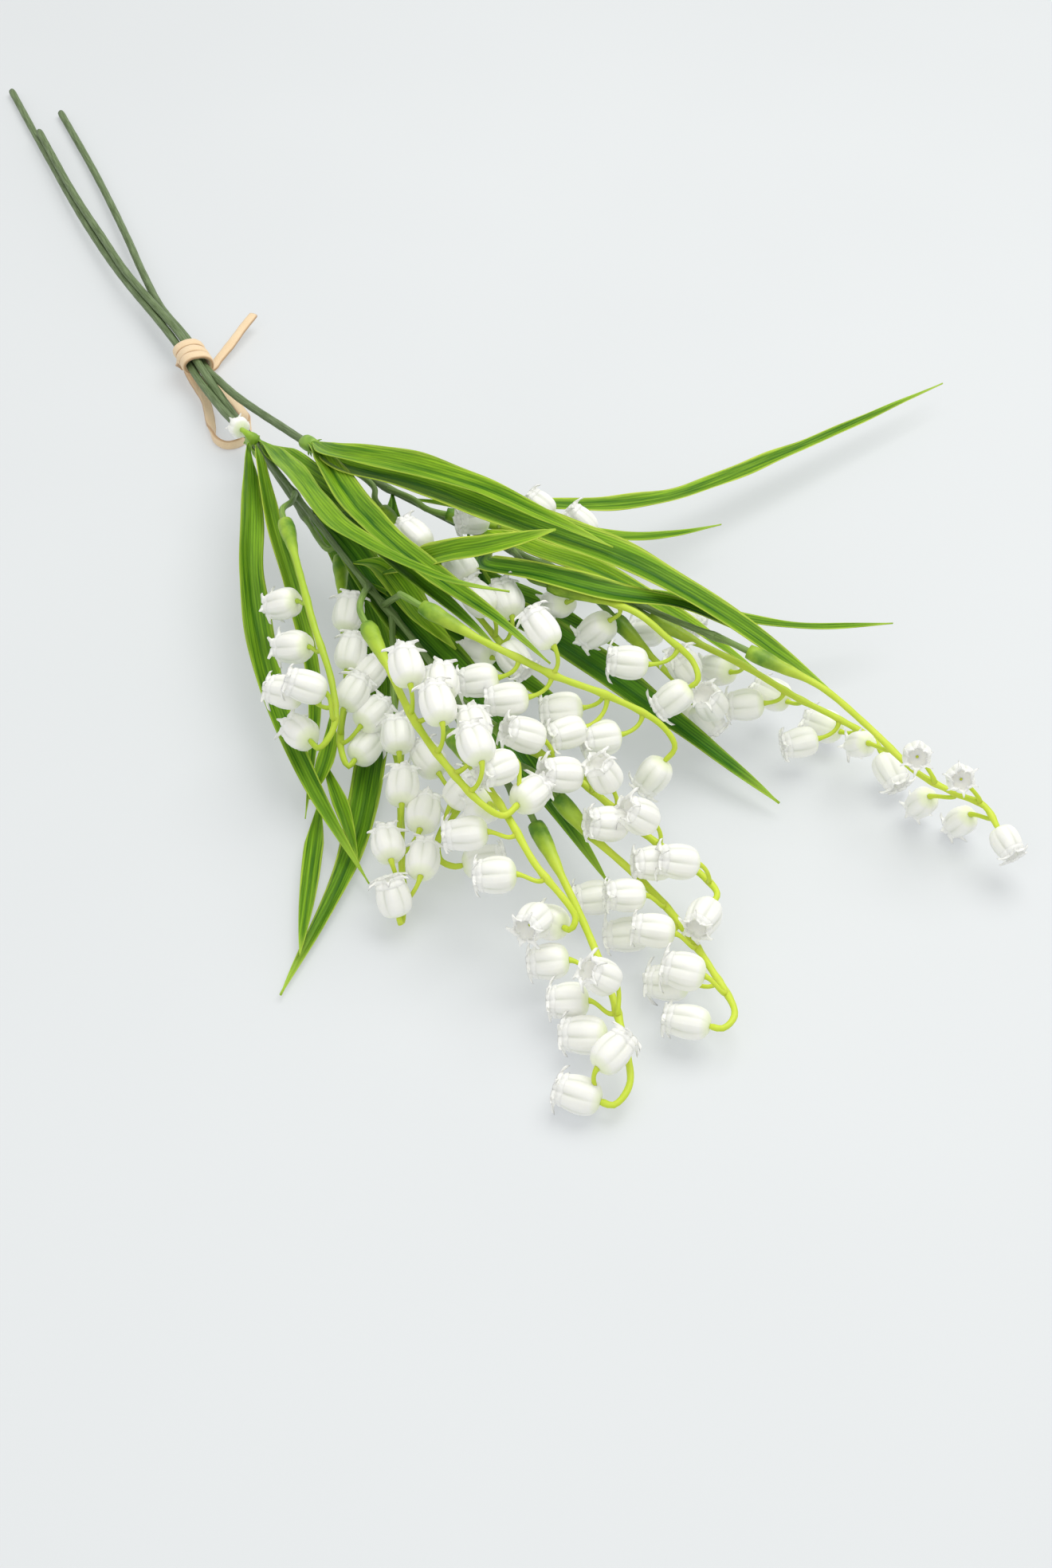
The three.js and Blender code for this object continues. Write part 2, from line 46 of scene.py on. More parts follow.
# Centripetal Catmull-Rom through the points, with the end points mirrored: cubic spans whose knots are the
# square roots of the distances, listed densely with the length run so far.
def curveThrough(points, perSpan=40):
    p = np.asarray(points, float)
    p = np.vstack([2 * p[0] - p[1], p, 2 * p[-1] - p[-2]])
    knots = np.sqrt(np.linalg.norm(np.diff(p, axis=0), axis=1)).clip(1e-3)
    spans = []
    t = np.linspace(0, 1, perSpan, endpoint=False)[:, None]
    for i in range(len(p) - 3):
        a, b, c, d = p[i:i + 4]
        ka, kb, kc = knots[i:i + 3]
        m1 = ((b - a) / ka - (c - a) / (ka + kb) + (c - b) / kb) * kb
        m2 = ((c - b) / kb - (d - b) / (kb + kc) + (d - c) / kc) * kb
        spans.append(b + m1 * t + (3 * (c - b) - 2 * m1 - m2) * t**2 + (2 * (b - c) + m1 + m2) * t**3)
    spans.append(p[-2][None])
    return lineThrough(np.vstack(spans))


# A listed line with its running length and unit directions (central differences).
def lineThrough(points):
    steps = np.linalg.norm(np.diff(points, axis=0), axis=1)
    along = np.concatenate([[0], np.cumsum(steps)])
    direction = np.gradient(points, axis=0)
    direction /= np.linalg.norm(direction, axis=1)[:, None]
    return {"points": points, "along": along, "direction": direction, "length": along[-1]}


# Cubic Bezier: the four points weighted (1-t)^3, 3t(1-t)^2, 3t^2(1-t), t^3.
def bezier(a, b, c, d, count):
    t = np.linspace(0, 1, count)[:, None]
    return lineThrough((1 - t)**3 * a + 3 * t * (1 - t)**2 * b + 3 * t**2 * (1 - t) * c + t**3 * d)


# The points or directions of a curve at the lengths s.
def pick(curve, key, s):
    return np.stack([np.interp(s, curve["along"], curve[key][:, k]) for k in range(3)], axis=-1)


def unit(v):
    return v / np.linalg.norm(v, axis=-1, keepdims=True)


# Places along a curve: the point, the direction, and a radial that turns with the angle (0 degrees to the
# right of the direction, 90 up, 180 left): right * cos + up * sin.
def placeOn(curve, s, degrees):
    s = np.clip(s, 0, curve["length"])
    point = pick(curve, "points", s)
    direction = unit(pick(curve, "direction", s))
    right = unit(np.cross(direction, zAxis))
    up = np.cross(right, direction)
    turn = np.radians(degrees)
    cos, sin = np.cos(turn)[..., None], np.sin(turn)[..., None]
    return point, direction, right * cos + up * sin


# A shell gathers closed grids. Each grid is rows by columns of points, closed around its columns, with both
# ends closed to a point; a ring is closed around its rows instead and has no marks. A grid is turned over
# if its signed volume (a sixth of the sum of a . b x c) is negative. Marks are numbers that the materials
# read: a value for every point, row or column of a grid, and 0 on a grid that has none.
def newShell():
    return {"points": [], "quads": [], "tris": [], "quadLook": [], "triLook": [], "marks": {}, "count": 0}


def addGrid(shell, grid, look=0, marks=None, ring=False):
    rows, columns = grid.shape[:2]
    points = grid.reshape(-1, 3)
    i, j = np.meshgrid(np.arange(rows if ring else rows - 1), np.arange(columns), indexing="ij")
    down, right = (i + 1) % rows, (j + 1) % columns
    quads = np.stack([i * columns + j, down * columns + j, down * columns + right, i * columns + right], -1)
    quads = quads.reshape(-1, 4)
    tris = np.zeros((0, 3), int)
    if not ring:
        first, last = len(points), len(points) + 1
        points = np.vstack([points, grid[0].mean(axis=0), grid[-1].mean(axis=0)])
        j = np.arange(columns)
        k = (j + 1) % columns
        end = (rows - 1) * columns
        tris = np.vstack([
            np.stack([np.full(columns, first), j, k], -1),
            np.stack([np.full(columns, last), end + k, end + j], -1)])
    split = np.vstack([quads[:, [0, 1, 2]], quads[:, [0, 2, 3]], tris])
    a, b, c = (points[split[:, n]] - points.mean(axis=0) for n in range(3))
    if np.einsum("ij,ij->", a, np.cross(b, c)) < 0:
        quads, tris = quads[:, ::-1], tris[:, ::-1]
    shell["points"].append(points)
    shell["quads"].append(quads + shell["count"])
    shell["tris"].append(tris + shell["count"])
    shell["quadLook"].append(np.full(len(quads), look))
    shell["triLook"].append(np.full(len(tris), look))
    for name, value in (marks or {}).items():
        field = np.broadcast_to(value, (rows, columns))
        whole = np.concatenate([field.reshape(-1), [field[0].mean(), field[-1].mean()]])
        shell["marks"].setdefault(name, []).append((shell["count"], whole))
    shell["count"] += len(points)


# Makes the mesh of a shell: places it in the model's frame, smooths it and writes its marks as attributes.
def finishShell(shell, name, materials):
    points = (np.vstack(shell["points"]) + home) * mm
    quads, tris = np.vstack(shell["quads"]), np.vstack(shell["tris"])
    mesh = bpy.data.meshes.new(name)
    mesh.vertices.add(len(points))
    mesh.vertices.foreach_set("co", points.reshape(-1))
    corners = np.concatenate([quads.reshape(-1), tris.reshape(-1)])
    sizes = np.concatenate([np.full(len(quads), 4), np.full(len(tris), 3)])
    mesh.loops.add(len(corners))
    mesh.loops.foreach_set("vertex_index", corners)
    mesh.polygons.add(len(sizes))
    mesh.polygons.foreach_set("loop_start", np.concatenate([[0], np.cumsum(sizes)[:-1]]))
    mesh.polygons.foreach_set("material_index", np.concatenate(shell["quadLook"] + shell["triLook"]))
    mesh.polygons.foreach_set("use_smooth", np.ones(len(sizes), bool))
    mesh.update(calc_edges=True)
    for key, parts in shell["marks"].items():
        field = np.zeros(len(points))
        for start, values in parts:
            field[start:start + len(values)] = values
        mesh.attributes.new(key, "FLOAT", "POINT").data.foreach_set("value", field)
    for material in materials:
        mesh.materials.append(material)
    piece = bpy.data.objects.new(name, mesh)
    bpy.context.scene.collection.objects.link(piece)
    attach(piece, "root")
    return piece


# A direction square to the path, carried along it without twisting: each step drops the part along the
# path.
def carryAlong(direction, start):
    side = [unit(start - direction[0] * (start @ direction[0]))]
    for d in direction[1:]:
        side.append(unit(side[-1] - d * (side[-1] @ d)))
    return np.array(side)


# A profile carried along a path: point + width * x * side + height * y * (direction x side), where x, y run
# round the ring; radius gives one size per row, ring one size per column.
def sweep(curve, s, radius, sides, ring=None):
    point = pick(curve, "points", s)
    direction = unit(pick(curve, "direction", s))
    start = np.cross(direction[0], zAxis)
    start = start if np.linalg.norm(start) > 0.1 else np.array([1.0, 0.0, 0.0])
    side = carryAlong(direction, start)
    over = np.cross(direction, side)
    turn = np.linspace(0, 2 * np.pi, sides, endpoint=False)
    size = np.asarray(radius)[:, None] * (np.ones(sides) if ring is None else ring(turn))[None]
    x, y = size * np.cos(turn), size * np.sin(turn)
    return point[:, None] + side[:, None] * x[..., None] + over[:, None] * y[..., None], turn


def stepsAlong(start, end, step):
    return np.linspace(start, end, max(3, int(round((end - start) / step)) + 1))


cameraLook = {"eye": (573.387, -151.596, 399.5), "aim": (211.317, 17.240, 0.0), "lens": 50.0, "sensor": 36.0}
stageLook = {
    "skyColour": "#fffffb", "skyStrength": 0.62,
    "key": {"from": (40, 400, 950), "size": 950, "power": 6.8, "colour": "#fffefa"},
    "fill": {"from": (700, -500, 800), "size": 1000, "power": 2.2, "colour": "#fdfdff"},
    "floor": "#a4a7a9", "cloud": "#abaeb0", "glow": 0.36, "floorSize": 7.0,
}


def toRow(point):
    return (np.asarray(point, float) + home) * mm


def hexColour(text):
    srgb = np.array([int(text[i:i + 2], 16) / 255 for i in (1, 3, 5)])
    linear = np.where(srgb <= 0.04045, srgb / 12.92, ((srgb + 0.055) / 1.055)**2.4)
    return (*linear.tolist(), 1.0)


# Sets a node's inputs: each is linked to a socket or to a node's first available output, or given a number
# or a hex colour.
def feed(tree, node, inputs):
    for key, value in inputs.items():
        if isinstance(value, bpy.types.Node):
            value = next(socket for socket in value.outputs if not socket.is_unavailable)
        if isinstance(value, bpy.types.NodeSocket):
            tree.links.new(value, node.inputs[key])
        else:
            node.inputs[key].default_value = hexColour(value) if isinstance(value, str) else value


# The one way a node is added.
def addNode(tree, kind, settings=None, inputs=None):
    node = tree.nodes.new(kind)
    for key, value in (settings or {}).items():
        setattr(node, key, value)
    feed(tree, node, inputs or {})
    return node


# The skin of a moulding: its colour, a roughness that follows one pattern and a relief that follows
# another.
def finishSkin(tree, shader, colour, gloss, roughness, relief, strength, depth):
    rough = addNode(tree, "ShaderNodeMapRange", None, {
        "Value": gloss, "To Min": roughness[0], "To Max": roughness[1]})
    bump = addNode(tree, "ShaderNodeBump", None, {"Height": relief, "Strength": strength, "Distance": depth})
    feed(tree, shader, {"Base Color": colour, "Roughness": rough, "Normal": bump})


colourMix = {"data_type": "RGBA"}
colourTimes = {"data_type": "RGBA", "blend_type": "MULTIPLY"}


def newMaterial(name, shaderValues):
    material = bpy.data.materials.new(name)
    material.use_nodes = True
    tree = material.node_tree
    tree.nodes.clear()
    shader = addNode(tree, "ShaderNodeBsdfPrincipled", None, shaderValues)
    addNode(tree, "ShaderNodeOutputMaterial", None, {"Surface": shader})
    return material, tree, shader


def aimAt(thing, eye, aim):
    thing.location = toRow(eye)
    thing.rotation_mode = "QUATERNION"
    thing.rotation_quaternion = Vector(toRow(aim) - toRow(eye)).to_track_quat("-Z", "Y")


def makeCamera():
    data = bpy.data.cameras.new("camera")
    data.lens = cameraLook["lens"]
    data.sensor_fit = "VERTICAL"
    data.sensor_height = cameraLook["sensor"]
    data.clip_start, data.clip_end = 0.01, 50
    camera = bpy.data.objects.new("camera", data)
    bpy.context.scene.collection.objects.link(camera)
    aimAt(camera, cameraLook["eye"], cameraLook["aim"])
    bpy.context.scene.camera = camera


def makeLight(name):
    look = stageLook[name]
    data = bpy.data.lights.new(name, "AREA")
    data.shape = "DISK"
    data.size = look["size"] * mm
    data.energy = look["power"]
    data.color = hexColour(look["colour"])[:3]
    lamp = bpy.data.objects.new(name, data)
    bpy.context.scene.collection.objects.link(lamp)
    aimAt(lamp, look["from"], (150, 0, 0))


# Plain matt laminate on a light table: nearly even, with a faint cloudiness a few centimetres across and a
# little glow of its own that keeps shadows pale.
def makeFloor():
    material, tree, shader = newMaterial("mattLaminate", {
        "Roughness": 0.62, "Emission Color": "#f7fafd", "Emission Strength": stageLook["glow"]})
    where = addNode(tree, "ShaderNodeTexCoord").outputs["Object"]
    cloud = addNode(tree, "ShaderNodeTexNoise", None, {"Vector": where, "Scale": 6.0, "Detail": 2.0})
    mix = addNode(tree, "ShaderNodeMix", colourMix, {
        "Factor": cloud, "A": stageLook["floor"], "B": stageLook["cloud"]})
    feed(tree, shader, {"Base Color": mix})
    half = stageLook["floorSize"] / 2
    mesh = bpy.data.meshes.new("floor")
    corners = [(-half, -half, 0), (half, -half, 0), (half, half, 0), (-half, half, 0)]
    mesh.from_pydata(corners, [], [(0, 1, 2, 3)])
    mesh.materials.append(material)
    floor = bpy.data.objects.new("floor", mesh)
    bpy.context.scene.collection.objects.link(floor)


def makeSky():
    world = bpy.data.worlds.new("studio")
    world.use_nodes = True
    background = world.node_tree.nodes["Background"]
    background.inputs["Color"].default_value = hexColour(stageLook["skyColour"])
    background.inputs["Strength"].default_value = stageLook["skyStrength"]
    bpy.context.scene.world = world
    bpy.context.scene.view_settings.view_transform = "Standard"


cordSizes = {
    "width": 3.0, "coilWidth": 3.55, "thickness": 1.5, "squareness": 2.6, "waver": 0.035, "rowStep": 0.7,
    "sides": 16, "edgeFrom": 0.82, "edgeRise": 4.5, "offTable": 0.02,
    "coilFrom": 2.6, "coilRise": 2.0, "coilReach": 9, "blendRows": 6,    # rows above the table, near the tie
    "uprightFrom": 27, "uprightRun": 8,    # where the loop stands on edge
}
coil = {
    "x": -2.8, "y": -1.0, "height": 8.45, "across": 4.2, "up": 3.15, "start": -150.0, "knots": 34,
    "perTurn": 12, "pitch": 3.6, "wander": 0.22, "wanderRate": 0.9,
}
cordTail = [
    (-18, 26, 5), (-13, 20.5, 4.5), (-7.5, 14.5, 3.5), (-2.5, 8.5, 2.5), (0.5, 4.5, 1.7), (-1.5, 0, 1.6),
    (-4.5, -3.5, 2.3),
]
cordLoop = [
    (9, 1.2, 2.6), (14, 4, 1.6), (24, 5.5, 1.5), (32.5, 5.5, 1.5), (38.5, 3.5, 1.5), (41.5, -0.5, 1.5),
    (41, -4.5, 1.5), (37, -6.5, 1.5), (30, -5.5, 1.5), (23.5, -4, 1.5), (15.5, -2.5, 1.5), (9, -2.5, 1.5),
    (4, -2.5, 1.5), (-1, -2.4, 2.2),
]


# Vegetable-tanned kid suede, split and left napped: pale tan, dry, with short fibres along it and darker
# cut edges.
def suedeMaterial():
    material, tree, shader = newMaterial("tanSuede", {
        "Roughness": 0.88, "Sheen Weight": 0.35, "Sheen Roughness": 0.4, "Specular IOR Level": 0.25})
    along, around, edge = (
        addNode(tree, "ShaderNodeAttribute", {"attribute_name": mark}).outputs["Fac"]
        for mark in ("along", "around", "edge"))
    spread = addNode(tree, "ShaderNodeMath", {"operation": "MULTIPLY"}, {0: around, 1: 3.2})
    fibre = addNode(tree, "ShaderNodeCombineXYZ", None, {"X": along, "Y": spread})
    nap = addNode(tree, "ShaderNodeTexNoise", None, {
        "Vector": fibre, "Scale": 1.6, "Detail": 6.0, "Roughness": 0.7})    # tufts about 0.6 mm
    blotch = addNode(tree, "ShaderNodeTexNoise", None, {"Vector": fibre, "Scale": 0.16, "Detail": 2.0})
    tan = addNode(tree, "ShaderNodeMix", colourMix, {"Factor": nap, "A": "#e6c8a0", "B": "#fbecd2"})
    warm = addNode(tree, "ShaderNodeMix", colourTimes, {"Factor": blotch, "A": tan, "B": "#fbf1e2"})
    cut = addNode(tree, "ShaderNodeMix", colourMix, {"Factor": edge, "A": warm, "B": "#b08458"})
    bump = addNode(tree, "ShaderNodeBump", None, {"Height": nap, "Strength": 0.55, "Distance": 0.3 * mm})
    feed(tree, shader, {"Base Color": cut, "Normal": bump})
    return material


# The coil's knots: x grows a pitch per turn, y and z go round an ellipse clockwise.
def cordRoute():
    i = np.arange(coil["knots"])
    turn = np.radians(coil["start"]) - 2 * np.pi * i / coil["perTurn"]
    swell = coil["wander"] * np.sin(i * coil["wanderRate"])
    around = np.stack([
        coil["x"] + coil["pitch"] * i / coil["perTurn"] + 0.5 * swell,
        coil["y"] + (coil["across"] + np.abs(swell)) * np.cos(turn),
        coil["height"] + (coil["up"] + np.abs(swell)) * np.sin(turn)], -1)
    return np.vstack([cordTail, around, cordLoop])[::-1]


# The sign of v times |v|^(2 / squareness): what cos and sin become round a superellipse.
def softRound(v):
    return np.sign(v) * np.abs(v)**(2 / cordSizes["squareness"])


# The flat cord: a superellipse |x/w|^2.6 + |y/t|^2.6 = 1 carried along the route. Its width lies along the
# stems in the coil, level on the table elsewhere, and upright round the end of the loop; the coil's tension
# presses it wider.
def makeCord():
    curve = curveThrough(cordRoute(), 24)
    s = stepsAlong(0, curve["length"], cordSizes["rowStep"])
    point = pick(curve, "points", s)
    direction = unit(pick(curve, "direction", s))
    blend = 2 * cordSizes["blendRows"] + 1
    raised = np.clip((point[:, 2] - cordSizes["coilFrom"]) / cordSizes["coilRise"], 0, 1)
    coiled = raised * (np.abs(point[:, 0]) < cordSizes["coilReach"])
    coiled = np.convolve(np.pad(coiled, cordSizes["blendRows"], "edge"), np.ones(blend) / blend, "valid")
    level = unit(np.cross(direction, zAxis) + 1e-6)
    upright = np.clip((point[:, 0] - cordSizes["uprightFrom"]) / cordSizes["uprightRun"], 0, 1)[:, None]
    loose = unit(level * (1 - upright) + zAxis * upright)
    first, last = int(np.argmax(coiled)), len(s) - 1 - int(np.argmax(coiled[::-1]))
    firstHalf = np.arange(len(s)) < (first + last) / 2
    side = np.where(firstHalf, np.sign(loose[first, 0]), np.sign(loose[last, 0]))
    wish = loose * (1 - coiled[:, None]) + np.array([1.0, 0, 0]) * (side * coiled)[:, None]
    wide = unit(wish - direction * np.sum(wish * direction, axis=1)[:, None])
    turned = np.sign(np.sum(wide[1:] * wide[:-1], axis=1))
    wide = wide * np.concatenate([[1], np.cumprod(np.where(turned == 0, 1, turned))])[:, None]
    thick = np.cross(direction, wide)
    width = cordSizes["width"] + (cordSizes["coilWidth"] - cordSizes["width"]) * coiled
    width = width * (1 + cordSizes["waver"] * np.sin(s * 0.9) * np.sin(s * 0.37 + 1))
    turn = np.linspace(0, 2 * np.pi, cordSizes["sides"], endpoint=False)
    x = width[:, None] / 2 * softRound(np.cos(turn))
    y = cordSizes["thickness"] / 2 * softRound(np.sin(turn)) * np.ones(len(s))[:, None]
    grid = point[:, None] + wide[:, None] * x[..., None] + thick[:, None] * y[..., None]
    grid[..., 2] = np.maximum(grid[..., 2], cordSizes["offTable"] - home[2])
    shell = newShell()
    addGrid(shell, grid, 0, {
        "along": s[:, None], "around": turn,
        "edge": np.clip(np.abs(np.cos(turn)) - cordSizes["edgeFrom"], 0, 1) * cordSizes["edgeRise"]})
    piece = finishShell(shell, "tieCordFlat", [suedeMaterial()])
    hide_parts("tie_cord")


# "thinLength" is what lies beyond the step from thick to thin. A branch has its distance before the stem's
# end, a point that it passes and the spray that it ends in.
stems = {
    "stem_left": {
        "thinLength": 163,
        "route": [
            (-206, -3.02, 1.5), (-150, -5.02, 2.5), (-101, -6.52, 4), (-62.5, -6.02, 5), (-10, -3.02, 7.5),
            (12, -3.02, 7.5), (36.5, -3.02, 11), (63, -2.52, 17), (101, -2.52, 23), (143, -0.52, 25),
            (173, 3.98, 22), (207, 5.98, 18), (231.5, 4.98, 19),
        ],
        "branches": [
            (133, (111.5, -7.5, 30), "spray_left"), (84, (163, -6.5, 36), "spray_long"),
            (76, (170, 0.5, 38), "spray_middle"), (72, (172.5, -3, 19), "spray_low_left"),
            (47, (197, 5, 15), "spray_inner"), (46, (200, -2, 30), "spray_fork"),
            (39, (204.5, 6.5, 25), "spray_centre"), (17, (226.5, 10.5, 22), "spray_right_low"),
            (1, (234, 5, 19.4), "spray_front"),
        ],
    },
    "stem_middle": {
        "thinLength": 44,
        "route": [
            (-166, -3.4, 4.5), (-115.5, -5.2, 5.9), (-80, -5, 6.75), (-56, -4.7, 7.5), (-10, -1, 9.44),
            (12, -1, 9.44), (33, 0, 8.5), (59, 0, 11), (92.5, -0.5, 14), (111.5, -0.5, 15),
        ],
        "branches": [(12, (119, 0, 16), "spray_under")],
    },
    "stem_right": {
        "thinLength": 142,
        "route": [
            (-182, 9.02, 1.5), (-130.5, 7.02, 2.5), (-82, 3.52, 4), (-59.5, 1.32, 5), (-32, -0.5, 6.7),
            (-10, 1.02, 7.5), (8, 1, 7.6), (18, 1.9, 8.9), (30, 2.7, 11.3), (43.5, 4.4, 14.2),
            (60.3, 6.8, 18.2), (82, 9.52, 24), (119.5, 22.02, 28), (150.5, 41.02, 25), (177.5, 56.52, 26),
            (199, 64.02, 30), (213, 70.52, 32),
        ],
        "branches": [
            (126, (114, 16, 29), "spray_covered"), (112, (125, 23.5, 30), "spray_back"),
            (69, (168, 37.5, 33), "spray_upper"), (58, (172, 52, 24), "spray_shade"),
            (43, (185.5, 59.5, 26), "spray_side"), (1, (214.8, 70.9, 32.7), "spray_end"),
        ],
    },
}
stemSizes = {
    "diameter": 2.5, "branch": 1.7, "rowStep": 2.0, "branchStep": 1.4, "sides": 16, "branchSides": 12,
    "wire": 0.9, "wireSides": 10, "wireIn": 2.0, "wireShows": 0.5, "intoSleeve": 2.5, "thinning": 1.5,
    "swell": 0.45, "swellReach": 2.6, "greenFrom": 60, "greenRun": 90,
}


# Polyethylene moulded over steel wire: satin, grey-green to fresh green, with pale and dark flow lines
# along it.
def stemMaterial():
    material, tree, shader = newMaterial("mouldedStemPolyethylene", {"Specular IOR Level": 0.42})
    along, around, fresh = (
        addNode(tree, "ShaderNodeAttribute", {"attribute_name": mark}).outputs["Fac"]
        for mark in ("along", "around", "fresh"))
    slow = addNode(tree, "ShaderNodeMath", {"operation": "MULTIPLY"}, {0: along, 1: 0.05})
    flow = addNode(tree, "ShaderNodeCombineXYZ", None, {"X": slow, "Y": around})
    streak = addNode(tree, "ShaderNodeTexNoise", None, {
        "Vector": flow, "Scale": 2.6, "Detail": 5.0, "Roughness": 0.62})
    where = addNode(tree, "ShaderNodeTexCoord").outputs["Object"]
    speck = addNode(tree, "ShaderNodeTexNoise", None, {"Vector": where, "Scale": 900.0, "Detail": 3.0})
    ramp = addNode(tree, "ShaderNodeMapRange", None, {"Value": streak, "From Min": 0.35, "From Max": 0.68})
    grey = addNode(tree, "ShaderNodeMix", colourMix, {"Factor": ramp, "A": "#4f6337", "B": "#80946a"})
    green = addNode(tree, "ShaderNodeMix", colourMix, {"Factor": ramp, "A": "#6f9a35", "B": "#9cbf49"})
    both = addNode(tree, "ShaderNodeMix", colourMix, {"Factor": fresh, "A": grey, "B": green})
    finishSkin(tree, shader, both, speck, (0.42, 0.62), streak, 0.35, 0.3 * mm)
    return material


# Galvanised steel wire, cut with side cutters: dull grey and finely mottled.
def wireMaterial():
    material, tree, shader = newMaterial("galvanisedWire", {"Metallic": 1.0, "Roughness": 0.42})
    where = addNode(tree, "ShaderNodeTexCoord").outputs["Object"]
    scratch = addNode(tree, "ShaderNodeTexNoise", None, {"Vector": where, "Scale": 2500.0, "Detail": 2.0})
    mix = addNode(tree, "ShaderNodeMix", colourMix, {"Factor": scratch, "A": "#8d9092", "B": "#b9bcbd"})
    feed(tree, shader, {"Base Color": mix})
    return material


stemLook = stemMaterial()
wireLook = wireMaterial()


# A stem: its radius goes from thick to thin by (thin - thick) / (1 + exp(-s)) at the collar, with a swell
# exp(-s^2) where a branch leaves; its end runs a little way into the spray's sleeve, and steel wire shows
# at the cut. Branches are thinner sweeps, widest where they spring.
def makeStem(name):
    stem = stems[name]
    curve = curveThrough(stem["route"])
    length = curve["length"]
    into = stemSizes["intoSleeve"]
    reached = lineThrough(np.vstack([curve["points"], curve["points"][-1] + curve["direction"][-1] * into]))
    s = stepsAlong(0, length + into, stemSizes["rowStep"])
    split = length - stem["thinLength"]
    thick, thin = stemSizes["diameter"] / 2, stemSizes["branch"] / 2
    radius = thick + (thin - thick) / (1 + np.exp(-(s - split) / stemSizes["thinning"]))
    for before, _, _ in stem["branches"]:
        radius = radius + stemSizes["swell"] * np.exp(-((s - (length - before)) / stemSizes["swellReach"])**2)
    radius = radius * (1 + 0.02 * np.sin(s * 0.7) + 0.015 * np.sin(s * 0.23 + 2))
    radius[0] *= 0.9
    radius[-1] *= 0.5
    shell = newShell()
    grid, turn = sweep(reached, s, radius, stemSizes["sides"], lambda a: 1 + 0.035 * np.cos(4 * a))
    fresh = np.clip((s - split - stemSizes["greenFrom"]) / stemSizes["greenRun"], 0, 0.2)
    addGrid(shell, grid, 0, {"along": s[:, None], "around": turn, "fresh": fresh[:, None]})
    cutEnd = pick(curve, "points", 0.0)
    wireIn, shows = stemSizes["wireIn"], stemSizes["wireShows"]
    wireLine = lineThrough(np.array([
        pick(curve, "points", wireIn), cutEnd, cutEnd - pick(curve, "direction", 0.0) * shows]))
    wireRows = np.array([0, wireIn, wireIn + shows])
    wire, _ = sweep(wireLine, wireRows, np.full(3, stemSizes["wire"] / 2), stemSizes["wireSides"])
    addGrid(shell, wire, 1)
    for number, (before, via, spray) in enumerate(stem["branches"]):
        stalk = curveThrough(sprays[spray]["stalk"])
        entry = stalk["direction"][0]
        tip = stalk["points"][0] + entry * stemSizes["intoSleeve"]
        nearTip = tip - entry * spraySizes["sleeveLength"] * 0.6
        branch = curveThrough([pick(curve, "points", length - before), via, nearTip, tip])
        b = stepsAlong(0, branch["length"], stemSizes["branchStep"])
        size = thin * (1 + 0.35 * np.exp(-(b / 3.5)**2) + 0.03 * np.sin(b * 0.8 + number))
        grid, turn = sweep(branch, b, size, stemSizes["branchSides"])
        fresh = np.clip(0.2 + 0.6 * b / max(branch["length"], 25), 0, 0.8)
        addGrid(shell, grid, 0, {
            "along": 40.0 * number + b[:, None], "around": turn, "fresh": fresh[:, None]})
    piece = finishShell(shell, name.replace("stem", "bentStem"), [stemLook, wireLook])
    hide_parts(name)


